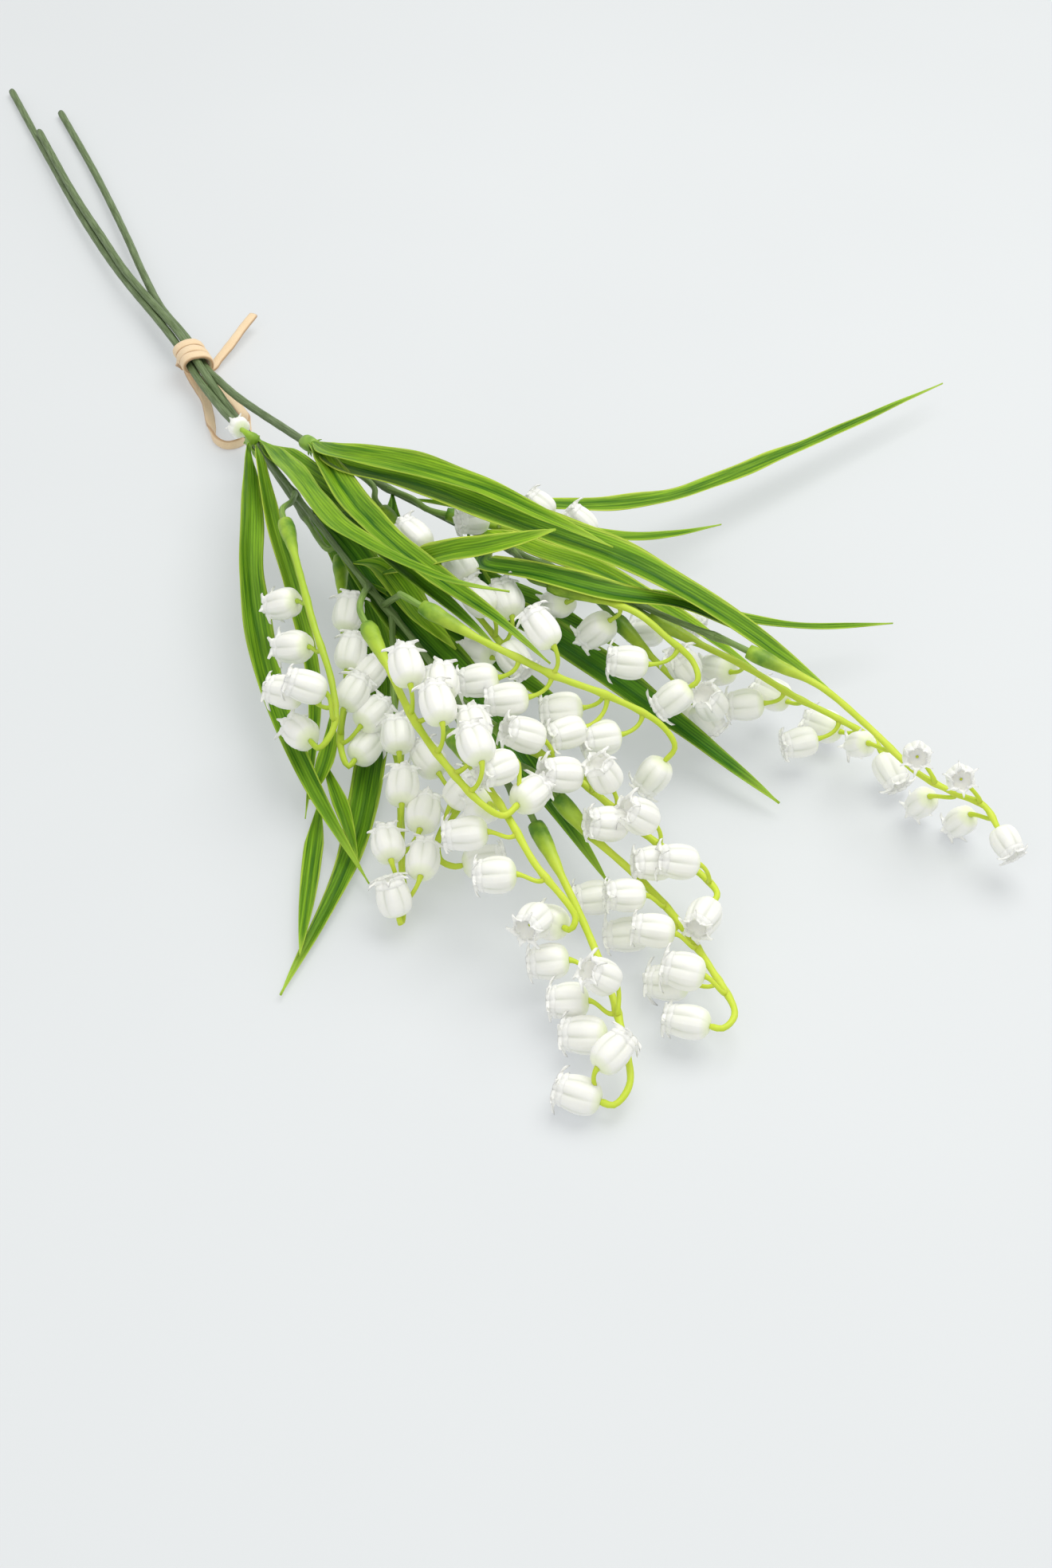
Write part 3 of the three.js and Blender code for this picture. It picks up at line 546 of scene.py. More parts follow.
# A spray's bells: distance along the stalk, angle round it in degrees, and how far out they hang. The nod
# is the angle between a bell's axis and the way back down the stalk, in degrees; "size" scales the bells,
# and "flat" is an end bell pressed by the cord.
sprays = {
    "spray_left": {
        "nod": 60,
        "stalk": [
            (126.5, -14.5, 36), (144.5, -18, 37), (167, -22, 34), (184, -24, 28), (194.5, -28, 24),
            (197, -33, 21), (192, -34, 20),
        ],
        "bells": [(26, -55, 9), (42, -55, 9), (59, -5, 12), (63, 45, 9)],
    },
    "spray_under": {
        "nod": 30,
        "stalk": [
            (124.5, 1, 17), (149, -8, 16), (171.5, -16, 14.5), (189.5, -25, 12), (196, -25.5, 10.5),
            (194, -22.5, 10.5),
        ],
        "bells": [(33, 100, 9), (47, 100, 9), (52, 135, 9), (60, 110, 9), (63, 155, 9)],
    },
    "spray_low_left": {
        "nod": 10,
        "stalk": [
            (187.5, -9, 14), (205, -15, 9), (223, -22.5, 6), (241, -29.5, 4), (245.5, -32, 4), (244, -32, 6),
        ],
        "bells": [(11, 90, 9), (28, 95, 9), (45, 70, 9), (35, 130, 9), (50, 125, 9)],
    },
    "spray_inner": {
        "nod": 40,
        "stalk": [
            (210, 2, 12), (220, -6, 9), (226.5, -14, 7), (231.5, -15.5, 5.5), (234.5, -13, 5),
            (235, -10.5, 5),
        ],
        "bells": [(2, 15, 10), (13, 105, 9)],
    },
    "spray_long": {
        "nod": 20,
        "stalk": [
            (185, -14, 45), (199, -15, 45), (220, -16, 43), (234.5, -14, 40), (246, -10, 36),
            (248.5, -6, 33), (245.5, -0.5, 32),
        ],
        "bells": [(26, 100, 9), (29, 160, 10), (39, 115, 9), (46, 155, 11), (52, 130, 9), (75, 130, 10)],
    },
    "spray_fork": {
        "nod": 60,
        "stalk": [
            (218.5, -6.5, 34), (230.5, -5.5, 33), (248, -4, 30), (260, -3, 26), (270.5, 0.5, 21),
            (273.5, 1, 19), (275, -1, 17.5), (272.5, -2, 16.5),
        ],
        "bells": [(18, -90, 9), (27, -20, 10), (40, -20, 9), (64, 140, 10)],
    },
    "spray_front": {
        "nod": 70,
        "stalk": [
            (243, 5, 20), (256.5, 4.5, 18), (274.5, 4, 13), (289.5, 2.5, 9), (301.5, -0.5, 8),
            (313, -4.5, 6), (316, -10, 5), (313.5, -12.5, 5),
        ],
        "bells": [(35, -15, 11), (48, 70, 9), (47, -10, 10), (58, -10, 8), (83, 45, 11)],
    },
    "spray_right_low": {
        "nod": 50,
        "stalk": [
            (239.5, 12.5, 23), (250, 16.5, 18), (260, 22, 13), (273.5, 26, 10), (294, 27, 8.5),
            (307, 25.5, 8.5), (309.5, 21, 8.5), (307, 18.5, 8),
        ],
        "bells": [(23, -35, 11), (31, 25, 9), (37, -30, 11), (45, 25, 9), (56, -20, 10), (60, 30, 9)],
    },
    "spray_centre": {
        "nod": 40,
        "stalk": [
            (216.5, 7, 29), (230, 15, 26), (238.5, 20.5, 23), (247, 25.5, 19), (258, 31.5, 15),
            (269, 37, 13), (276, 37.5, 13), (279, 34, 13.5),
        ],
        "bells": [(10, 65, 9), (22, 45, 9), (29, 85, 9), (38, 30, 9), (43, 70, 9), (53, 25, 9), (59, 50, 9)],
    },
    "spray_middle": {
        "nod": 30,
        "stalk": [
            (188.5, -0.5, 49), (203, 8, 47), (212, 15, 45), (219, 22, 42), (225, 33.5, 36), (233, 44, 29),
            (237, 46, 24), (237, 43, 20),
        ],
        "bells": [(31, 120, 9), (22, -45, 9), (31, -40, 10), (45, -90, 9), (46, -50, 12), (56, -50, 10)],
    },
    "spray_upper": {
        "nod": 35,
        "stalk": [
            (182.5, 37.5, 38), (191.5, 43.5, 39), (203.5, 51.5, 40), (211.5, 56.5, 36), (217.5, 61, 31),
            (221.5, 60.5, 28), (221, 58, 26),
        ],
        "bells": [(0, -115, 9), (14, -85, 9), (33, -40, 11)],
    },
    "spray_shade": {
        "nod": 35,
        "stalk": [(185.5, 55, 23), (204, 59.5, 19), (211, 63, 15), (214.5, 65, 11.5)],
        "bells": [(24, 80, 9), (34, -95, 9), (34, 70, 9)],
    },
    "spray_side": {
        "nod": 35,
        "stalk": [
            (192.5, 62, 26), (203.5, 69, 24), (216, 77.5, 22), (228, 87, 17), (235.5, 94.5, 13.5),
            (244, 101.5, 9.5), (248, 101.5, 8),
        ],
        "bells": [(21, -110, 9), (34, -65, 9), (39, -120, 9), (50, -45, 10), (55, -115, 9)],
    },
    "spray_end": {
        "nod": 84, "size": 0.84,
        "stalk": [
            (222, 74.5, 33), (228.5, 79, 32), (238, 87, 29), (250, 94, 23), (265, 100, 17.5),
            (273.5, 106, 15.5), (279, 111, 14), (286, 111, 12),
        ],
        "bells": [(37, -100, 9), (51, 70, 9), (57, -95, 9), (63, 70, 9), (68, -95, 9)],
    },
    "spray_covered": {
        "nod": 20,
        "stalk": [(125.5, 14, 30), (150.5, 15, 30), (168.5, 18.5, 30), (181, 21, 27.5), (186.5, 22.5, 25.5)],
        "bells": [(25, 80, 9), (42, 95, 9), (52, 80, 9), (55, 125, 9), (56, -80, 9)],
    },
    "spray_back": {
        "nod": 30, "size": 0.92,
        "stalk": [(134.5, 29, 30), (144.5, 43.5, 27), (155.5, 58, 23), (170, 68, 19), (184, 75, 16)],
        "bells": [(8, 40, 9), (24, 105, 9), (36, 95, 9), (66, -60, 9)],
    },
    "spray_tie": {
        "nod": 30, "size": 0.74, "flat": 0.5,
        "stalk": [(71.5, -4, 23), (70.5, -6, 25.5), (66, -6.5, 24.5)],
        "bells": [],
    },
}
spraySizes = {
    "stalk": 1.8, "sleeve": 4.4, "sleeveLength": 13.0, "sleeveShare": 0.36, "pedicel": 1.1, "pedicelLead": 6.5,
    "stalkSides": 14, "pedicelSides": 8, "rowStep": 1.2, "droop": 0.18, "level": 0.4,
    "pedicelRows": 14, "knuckle": 0.18, "knuckleReach": 1.6, "tipwardFrom": 120, "tipwardRun": 130,
}
bellSizes = {
    "diameter": 8.9, "length": 9.6, "wall": 0.5, "perPetal": 14, "lobes": 6, "grooveCrown": 0.07,
    "grooveMouth": 0.24, "rib": 0.035, "ribWidth": 0.05, "midline": 0.018, "midlineWidth": 0.06, "lip": 0.28,
    "lipRise": 0.7, "lipBend": 1.35, "claw": 2.4, "clawWidth": 0.1, "underside": (0.1, 0.4), "seat": 0.6,
    "cup": 0.3, "pistil": 5.4, "offTable": 0.05,
}


# Polyethylene for the bells: white, waxy and a little translucent, smooth from the mould, with a greener tint
# towards the crown; the grooves between the petals are darkened to grey-green, partly a tint and partly
# painted shade. A faint glow stands for the light that comes through the thin walls and keeps the mouths pale.
def bellMaterial():
    material, tree, shader = newMaterial("waxyWhitePolyethylene", {
        "Subsurface Weight": 0.45, "Subsurface Radius": (1.0, 0.97, 0.85), "Subsurface Scale": 0.0018,
        "Specular IOR Level": 0.45, "Emission Color": "#fbfbf6", "Emission Strength": 0.09})
    rise, groove = (
        addNode(tree, "ShaderNodeAttribute", {"attribute_name": mark}).outputs["Fac"]
        for mark in ("rise", "groove"))
    where = addNode(tree, "ShaderNodeTexCoord").outputs["Object"]
    cloud = addNode(tree, "ShaderNodeTexNoise", None, {"Vector": where, "Scale": 260.0, "Detail": 3.0})
    grain = addNode(tree, "ShaderNodeTexNoise", None, {"Vector": where, "Scale": 1900.0, "Detail": 2.0})
    white = addNode(tree, "ShaderNodeMix", colourMix, {"Factor": cloud, "A": "#e6e6e1", "B": "#efefeb"})
    # Painted shade, in part: the groove mark darkens the white to grey-green in the grooves between the
    # petals.
    deep = addNode(tree, "ShaderNodeMath", {"operation": "MULTIPLY", "use_clamp": True}, {0: groove, 1: 0.85})
    shade = addNode(tree, "ShaderNodeMix", colourMix, {"Factor": deep, "A": white, "B": "#cfd3c4"})
    crown = addNode(tree, "ShaderNodeMapRange", None, {
        "Value": rise, "From Min": 0.0, "From Max": 0.16, "To Min": 0.75, "To Max": 0.0})
    green = addNode(tree, "ShaderNodeMix", colourMix, {"Factor": crown, "A": shade, "B": "#dfe8b8"})
    finishSkin(tree, shader, green, cloud, (0.34, 0.5), grain, 0.12, 0.2 * mm)
    return material


# Polyethylene for the stalks: yellow-green, brighter towards the flower tips and darker towards the tie, where
# the darker green is partly painted shade of the pile; soft shine with faint flow lines.
def stalkMaterial():
    material, tree, shader = newMaterial("yellowGreenPolyethylene", {
        "Subsurface Weight": 0.25, "Subsurface Radius": (0.7, 1.0, 0.25), "Subsurface Scale": 0.0012,
        "Specular IOR Level": 0.42})
    tipward, husk = (
        addNode(tree, "ShaderNodeAttribute", {"attribute_name": mark}).outputs["Fac"]
        for mark in ("tipward", "husk"))
    where = addNode(tree, "ShaderNodeTexCoord").outputs["Object"]
    cloud = addNode(tree, "ShaderNodeTexNoise", None, {"Vector": where, "Scale": 170.0, "Detail": 4.0})
    grain = addNode(tree, "ShaderNodeTexNoise", None, {"Vector": where, "Scale": 1500.0, "Detail": 2.0})
    tiewardGreen = addNode(tree, "ShaderNodeMix", colourMix, {"Factor": cloud, "A": "#86b022", "B": "#b0d040"})
    tipwardGreen = addNode(tree, "ShaderNodeMix", colourMix, {"Factor": cloud, "A": "#bcd42c", "B": "#d8e352"})
    # Painted shade, in part: the darker green towards the tie stands for the shade inside the pile.
    both = addNode(tree, "ShaderNodeMix", colourMix, {"Factor": tipward, "A": tiewardGreen, "B": tipwardGreen})
    mottle = addNode(tree, "ShaderNodeMapRange", None, {"Value": cloud, "From Min": 0.38, "From Max": 0.62})
    green = addNode(tree, "ShaderNodeMix", colourMix, {"Factor": mottle, "A": "#56861d", "B": "#9abb35"})
    sleeved = addNode(tree, "ShaderNodeMix", colourMix, {"Factor": husk, "A": both, "B": green})
    finishSkin(tree, shader, sleeved, grain, (0.36, 0.54), grain, 0.15, 0.2 * mm)
    return material


bellLook = bellMaterial()
stalkLook = stalkMaterial()

# The bell's outer line from crown to mouth: share of the length, share of the radius.
bellLine = curveThrough([
    (0.0, 0.0, 0), (0.01, 0.27, 0), (0.05, 0.55, 0), (0.14, 0.82, 0), (0.28, 0.96, 0), (0.46, 1.0, 0),
    (0.64, 0.97, 0), (0.79, 0.88, 0), (0.89, 0.78, 0), (0.94, 0.73, 0),
], 30)


# One bell in its own frame, z from crown to mouth. Outside: radius R(z) * (1 - depth(z) * (1 - q)), where q
# = |cos(pi * petal)|^0.45 is 1 along the middle of a petal and 0 in a groove. A thin rib stands in each
# groove and a faint one along each petal. The lip flares out by lip * (0.12 + 0.88 * q^2) + claw *
# exp(-(petal angle / clawWidth)^2) and curls back; the cup inside follows the outside, a wall thinner and
# only part as deep.
def bellGrid(seed):
    rng = np.random.default_rng(seed)
    lobes, each = bellSizes["lobes"], bellSizes["perPetal"]
    u = np.linspace(-1, 1, each, endpoint=False)
    petal = np.tile(np.sign(u) * np.abs(u)**1.4 / 2, lobes)    # columns crowd towards the petal middles
    index = np.repeat(np.arange(lobes), each)
    a = (index + 0.5 + petal) * 2 * np.pi / lobes
    q = np.abs(np.cos(np.pi * petal))**0.45
    s = np.concatenate([np.linspace(0.04, 0.5, 8), np.linspace(0.58, 1, 8)]) * bellLine["length"]
    line = pick(bellLine, "points", s)
    z = line[:, 0] * bellSizes["length"]
    depth = bellSizes["grooveCrown"] + (bellSizes["grooveMouth"] - bellSizes["grooveCrown"]) * line[:, 0]**1.2
    radius = bellSizes["diameter"] / 2 * line[:, 1]
    rib = bellSizes["rib"] * np.exp(-((0.5 - np.abs(petal)) / bellSizes["ribWidth"])**2)[None]
    middle = bellSizes["midline"] * np.exp(-(petal / bellSizes["midlineWidth"])**2)[None]
    relief = (rib + middle) * np.sin(np.pi * np.clip(line[:, :1] * 1.05, 0, 1))**0.7
    outer = radius[:, None] * (1 - depth[:, None] * (1 - q)[None] + relief)
    outerZ = z[:, None] + 0 * a
    angle = petal * 2 * np.pi / lobes
    size = bellSizes["claw"] * rng.uniform(0.55, 1.15, lobes)[index]
    skew = rng.uniform(-0.5, 0.5, lobes)[index]
    claw = size * np.exp(-(angle / bellSizes["clawWidth"])**2)
    reach = bellSizes["lip"] * (0.12 + 0.88 * q**2) + claw
    curl = rng.uniform(0.6, 1.5, lobes)[index]
    w = np.array([0.15, 0.35, 0.55, 0.78, 1.0])[:, None]
    back = w[::-1][1:]
    bend, thin, deep = bellSizes["lipBend"], *bellSizes["underside"]
    flare, under = (outer[-1] + reach * np.sin(v * bend) / np.sin(bend) for v in (w, back))
    flareZ, underZ = (
        outerZ[-1] + bellSizes["lipRise"] * np.sin(v * np.pi / 2) - claw * curl * 0.5 * v**2
        for v in (w, back))
    lean, underLean = (skew * claw * 0.35 * v**2 for v in (w, back))
    keep = slice(None, None, -2)
    inner = np.maximum(outer[keep] - bellSizes["wall"], 0.15)
    innerZ = outerZ[-1] - (outerZ[-1] - outerZ[keep]) * bellSizes["cup"] + deep
    r = np.vstack([outer, flare, under - thin, inner])
    zz = np.vstack([outerZ, flareZ, underZ + deep, innerZ])
    turn = a + np.vstack([0 * outer, lean / 5, underLean / 5, 0 * inner])
    grid = np.stack([r * np.cos(turn), r * np.sin(turn), zz], -1)
    rise = np.vstack([line[:, :1] + 0 * outer, 1 + 0 * flare, 1 + 0 * under, 0.6 + 0 * inner])
    # The groove mark carries the material's painted shade in the grooves, on the outside only.
    groove = np.vstack([(1 - q) * line[:, :1]**0.6, 0 * flare, 0 * under, 0 * inner])
    return grid, {"rise": rise, "groove": groove}


# Places a grid whose z is along the axis: crown + x * e1 + y * e2 + z * axis, turned about the axis.
def putOnAxis(grid, crown, axis, turn):
    e1 = unit(np.cross(axis, zAxis if abs(axis[2]) < 0.9 else np.array([1.0, 0, 0])))
    e2 = np.cross(axis, e1)
    c, s = np.cos(turn), np.sin(turn)
    x = grid[..., 0] * c - grid[..., 1] * s
    y = grid[..., 0] * s + grid[..., 1] * c
    return crown + x[..., None] * e1 + y[..., None] * e2 + grid[..., 2:] * axis


# How far out along the bunch a point is, from 0 to 1: stalks are yellower towards the flower tips and darker
# towards the tie, partly painted shade.
def tipwardShare(points):
    return np.clip((points[..., 0] - spraySizes["tipwardFrom"]) / spraySizes["tipwardRun"], 0, 1)


def addStalkPart(shell, grid, husk=0.0):
    addGrid(shell, grid, 1, {"tipward": tipwardShare(grid), "husk": husk})


# The green pistil in the cup: a ball stretched along the axis.
def addPistil(shell, crown, axis, size):
    v = np.linspace(0.25, np.pi - 0.25, 5)[:, None]
    a = np.linspace(0, 2 * np.pi, 8, endpoint=False)[None]
    ball = np.stack([np.sin(v) * np.cos(a), np.sin(v) * np.sin(a), -np.cos(v) * 1.5 + 0 * a], -1) * 0.95
    addStalkPart(shell, putOnAxis((ball + [0, 0, bellSizes["pistil"]]) * size, crown, axis, 0))


def addBell(shell, crown, axis, seed, size, flat=1.0):
    rng = np.random.default_rng(seed + 7000)
    grid, marks = bellGrid(seed)
    wide = rng.uniform(0.93, 1.02) * size
    grid = grid * [wide, wide, rng.uniform(0.96, 1.1) * size * flat]
    placed = putOnAxis(grid, crown, axis, rng.uniform(0, 2 * np.pi))
    placed[..., 2] = np.maximum(placed[..., 2], bellSizes["offTable"] - home[2])
    addGrid(shell, placed, 0, marks)
    addPistil(shell, crown, axis, size * flat)


# A bell's axis: outward and back along the stalk by the nod, laid nearly level and let down a little by its
# weight.
def bellAxis(radial, direction, nod):
    outward = unit(radial * [1, 1, spraySizes["level"]])
    return unit(outward * np.sin(nod) - direction * np.cos(nod) - zAxis * spraySizes["droop"])


# A spray: the stalk swells a little where each pedicel springs and narrows to its end; its sleeve is a
# swollen root that tapers into the stalk; every pedicel bows out and enters its bell's crown.
def makeSpray(name, number):
    spray = sprays[name]
    size = spray.get("size", 1.0)
    halfBell = bellSizes["length"] * size / 2
    curve = curveThrough(spray["stalk"])
    length = curve["length"]
    shell = newShell()
    s = stepsAlong(0, length, spraySizes["rowStep"])
    springs = [min(along + spraySizes["pedicelLead"], length) for along, _, _ in spray["bells"]]
    radius = spraySizes["stalk"] / 2 * (1 - 0.2 * (s / length)**2)
    for spring in springs:
        radius = radius + spraySizes["knuckle"] * np.exp(-((s - spring) / spraySizes["knuckleReach"])**2)
    sleeve = min(spraySizes["sleeveLength"], spraySizes["sleeveShare"] * length)
    swell = (spraySizes["sleeve"] - spraySizes["stalk"]) / 2
    radius = radius + swell * np.clip(1.25 - s / sleeve, 0, 1)**0.9 * (1 - 0.3 * np.exp(-(s / 1.4)**2))
    radius = radius * (1 + 0.03 * np.sin(s * 1.1 + number))
    radius[-1] *= 0.6
    grid, _ = sweep(curve, s, radius, spraySizes["stalkSides"], lambda a: 1 + 0.07 * np.cos(2 * a))
    addStalkPart(shell, grid, np.clip(1.3 - s / sleeve, 0, 1)[:, None])
    end = curve["direction"][-1]
    middle = curve["points"][-1] + end * (halfBell - bellSizes["seat"])
    addBell(shell, middle - end * halfBell, end, number * 50, size, spray.get("flat", 1.0))
    nod = np.radians(spray["nod"])
    for k, (along, degrees, reach) in enumerate(spray["bells"]):
        point, direction, radial = placeOn(curve, float(along), float(degrees))
        axis = bellAxis(radial, direction, nod)
        crown = point + radial * reach - axis * halfBell
        spring, _, _ = placeOn(curve, springs[k], float(degrees))
        outward = spring + radial * reach * 0.3 + direction * reach * 0.15
        behind = crown - axis * reach * 0.25
        pedicel = bezier(spring, outward, behind, crown + axis * bellSizes["seat"], 24)
        b = np.linspace(0, pedicel["length"], spraySizes["pedicelRows"])
        t = b / pedicel["length"]
        thick = spraySizes["pedicel"] / 2 * (
            1 + 0.5 * np.exp(-(t / 0.16)**2) + 0.55 * np.exp(-((1 - t) / 0.14)**2))
        grid, _ = sweep(pedicel, b, thick, spraySizes["pedicelSides"])
        addStalkPart(shell, grid)
        addBell(shell, crown, axis, number * 50 + k + 1, size)
    piece = finishShell(shell, name.replace("spray", "bellSpray"), [bellLook, stalkLook])
    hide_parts(name)


# A leaf's roll is the blade's turn about its midrib in degrees, at the root and at the tip; "tone" goes
# from dark to light, "ink" says how strongly the dark middle line and the pale margins are printed, and
# "fuller" widens it. The dark tones and fuller blades of the leaves inside the pile partly paint its shade.
leaves = {
    "leaf_far_left": {
        "width": 9, "roll": (60, -20), "tone": 0.45, "fuller": 1, "ink": (0.15, 0.5),
        "midrib": [
            (64.5, -2.5, 18), (67.5, -5, 20), (100, -16.5, 22), (126, -26, 19), (164, -34.5, 14),
            (197, -36, 9), (230, -34, 4),
        ],
    },
    "leaf_left_inner": {
        "width": 7, "roll": (40, 0), "tone": 0.55, "fuller": 0.82, "ink": (0.3, 0.9),
        "midrib": [
            (66, -2.8, 18.5), (83, -7, 24), (109.5, -13, 22), (135, -16.5, 14), (162, -22, 9),
            (190.5, -34, 7), (203.5, -40.5, 5),
        ],
    },
    "leaf_left_broad": {
        "width": 8, "roll": (0, 0), "tone": 0.35, "fuller": 1.3, "ink": (0.4, 0.7),
        "midrib": [
            (97, -0.4, 14.6), (114.5, 3, 12), (162.5, -3, 5), (187.5, -16, 2.5), (219, -35, 2),
            (252, -65.5, 1.5),
        ],
    },
    "leaf_left_slim": {
        "width": 5, "roll": (0, 0), "tone": 0.45,
        "midrib": [(195.5, -33.5, 2.5), (211, -41, 3), (228, -49.5, 3), (244, -57.5, 3.5)],
    },
    "leaf_left_short": {
        "width": 5, "roll": (0, 0), "tone": 0.7,
        "midrib": [(175, -22, 10), (185.5, -26.5, 9.5), (194, -32.5, 8), (199, -37.5, 6.5)],
    },
    "leaf_left_cross": {
        "width": 4, "roll": (0, 0), "tone": 0.55,
        "midrib": [(185, -29, 6), (191, -29.5, 5.5), (208.5, -31.5, 5), (221.5, -33.5, 4)],
    },
    "leaf_arch": {
        "width": 7, "roll": (10, 10), "tone": 0.6, "fuller": 1.12, "ink": (0.15, 0.35),
        "midrib": [
            (63.5, -1.8, 18), (71.5, -1.5, 21), (106.5, -4, 34), (144, -5, 43), (168.5, 1.5, 48),
            (184.5, 10, 50), (192.5, 21.5, 49),
        ],
    },
    "leaf_right_slim": {
        "width": 8, "roll": (0, 0), "tone": 0.55, "ink": (0.9, 0.6),
        "midrib": [
            (80.5, 8.6, 24.8), (95, 7.5, 30), (132.5, 4.5, 38), (159, 6.5, 42), (179.5, 11, 44),
            (197, 17, 44), (213, 23, 41),
        ],
    },
    "leaf_blue": {
        "width": 6, "roll": (0, 0), "tone": 0.25, "ink": (0.2, 0.3),
        "midrib": [
            (112, -1.5, 24.6), (132, 2, 34.5), (157.5, 4.5, 38.5), (176, 8, 40.5), (191, 11, 41.5),
            (202.5, 14, 40.5),
        ],
    },
    "leaf_top_far": {
        "width": 8, "roll": (-10, -10), "tone": 0.6, "ink": (0.5, 0.5),
        "midrib": [
            (81, 9.6, 25), (100, 9, 34), (124.5, 19.5, 43), (150.5, 32, 49), (171.5, 42.5, 50),
            (184.5, 54.5, 46),
        ],
    },
    "leaf_top_long": {
        "width": 12, "roll": (0, 0), "tone": 0.45, "ink": (0.85, 0.8),
        "midrib": [
            (82, 10.2, 24.6), (104, 10, 32), (133, 23, 40), (164, 37, 45), (189, 57, 43), (211.5, 75.5, 34),
            (240.5, 95.5, 20),
        ],
    },
    "leaf_right_float": {
        "width": 6, "roll": (0, 0), "tone": 0.5, "ink": (0.55, 1),
        "midrib": [
            (110, 19, 27.6), (125.5, 33, 30), (138, 59, 25), (138, 94, 16), (128.5, 139.5, 11),
            (113.5, 206, 8),
        ],
    },
    "leaf_right_under": {
        "width": 5, "roll": (0, 0), "tone": 0.6,
        "midrib": [(120, 22.5, 27.5), (135, 50.5, 22), (147.5, 71.5, 17), (149, 91.5, 12), (147.5, 109, 9)],
    },
    "leaf_right_tip": {
        "width": 4, "roll": (0, 0), "tone": 0.5,
        "midrib": [(172, 53, 26), (188, 72.5, 24), (199, 88.5, 20), (203.5, 108.5, 14), (206.5, 130, 10)],
    },
    "leaf_dark_long": {
        "width": 10, "roll": (0, 0), "tone": 0.15, "ink": (0.9, 0.5),
        "midrib": [
            (140, 33, 26.4), (162, 26, 25), (182.5, 37.5, 20), (201, 47.5, 16), (219, 57, 11),
            (248.5, 71, 4),
        ],
    },
    "leaf_curl": {
        "width": 8, "roll": (-20, -20), "tone": 0.6, "ink": (0.3, 0.9),
        "midrib": [(151, 3, 30), (169, 16, 46), (174, 22.5, 49), (177, 31, 51), (179.5, 40.5, 53)],
    },
    "leaf_upper_dark": {
        "width": 8, "roll": (0, 0), "tone": 0.3, "ink": (0.9, 0.9),
        "midrib": [
            (152, 36, 30), (168, 25, 38), (180.5, 34, 41), (195, 47.5, 41), (203, 65.9, 36),
            (212.5, 78.9, 30),
        ],
    },
    # Painted shade, in part: a dark tone and a fuller blade that fill the shade inside the pile.
    "leaf_shadow": {
        "width": 8, "roll": (0, 0), "tone": 0.3, "fuller": 1.5, "ink": (0.5, 0.2),
        "midrib": [(116, 20.5, 27.5), (133, 15, 24), (155, 27, 22), (169, 41.5, 18), (186.5, 57, 12)],
    },
    "leaf_yellow": {
        "width": 7, "roll": (0, 0), "tone": 0.85, "ink": (0.2, 1),
        "midrib": [
            (139, 33, 26.6), (153, 37.5, 32), (163.5, 43, 33), (176, 53.5, 32), (194.5, 69, 25),
            (215, 82, 18),
        ],
    },
    # Painted shade, in part: a dark tone and a fuller blade that fill the shade inside the pile.
    "leaf_deep": {
        "width": 9, "roll": (0, 0), "tone": 0.2, "fuller": 1.5, "ink": (0.8, 0.3),
        "midrib": [
            (108, -1.5, 23), (124, 2, 22), (160, 5, 20), (189.5, 11.5, 16), (224.5, 15.5, 11), (257, 18, 7),
        ],
    },
    # Painted shade, in part: a dark tone and a fuller blade that fill the shade inside the pile.
    "leaf_cross_under": {
        "width": 5, "roll": (0, 0), "tone": 0.3, "fuller": 1.4,
        "midrib": [(144, 0, 24), (161.5, 17, 14), (179.5, 24, 13), (196, 31.5, 11), (210.5, 37, 8)],
    },
    "leaf_striped": {
        "width": 8, "roll": (0, 0), "tone": 0.7, "fuller": 1.35,
        "midrib": [(136, -0.4, 24), (148.5, 4.5, 29.5), (168, 7.5, 26.5), (178, 12.5, 21.5)],
    },
    # Painted shade, in part: a fuller blade that fills the shaded gap under the arch.
    "leaf_under_arch": {
        "width": 7, "roll": (0, 0), "tone": 0.5, "fuller": 1.5, "ink": (0.5, 0.2),
        "midrib": [(65, -1.2, 17.5), (76, -1, 21), (101.5, 3.5, 25.5), (123.5, 8, 27.5), (138, 12, 27.5)],
    },
}
leafSizes = {
    "thickness": 0.45, "edgeThin": 0.55, "fold": 26.0, "root": 0.2, "tip": 0.06, "rowStep": 2.0, "across": 19,
    "fuller": 1.14, "ink": (0.45, 0.6), "rootRun": 26.0, "rib": 0.3, "ribWidth": 0.1, "offTable": 0.05,
    "ripples": ((0.3, 7.5), (0.22, 4.1)),    # height and length, mm
}


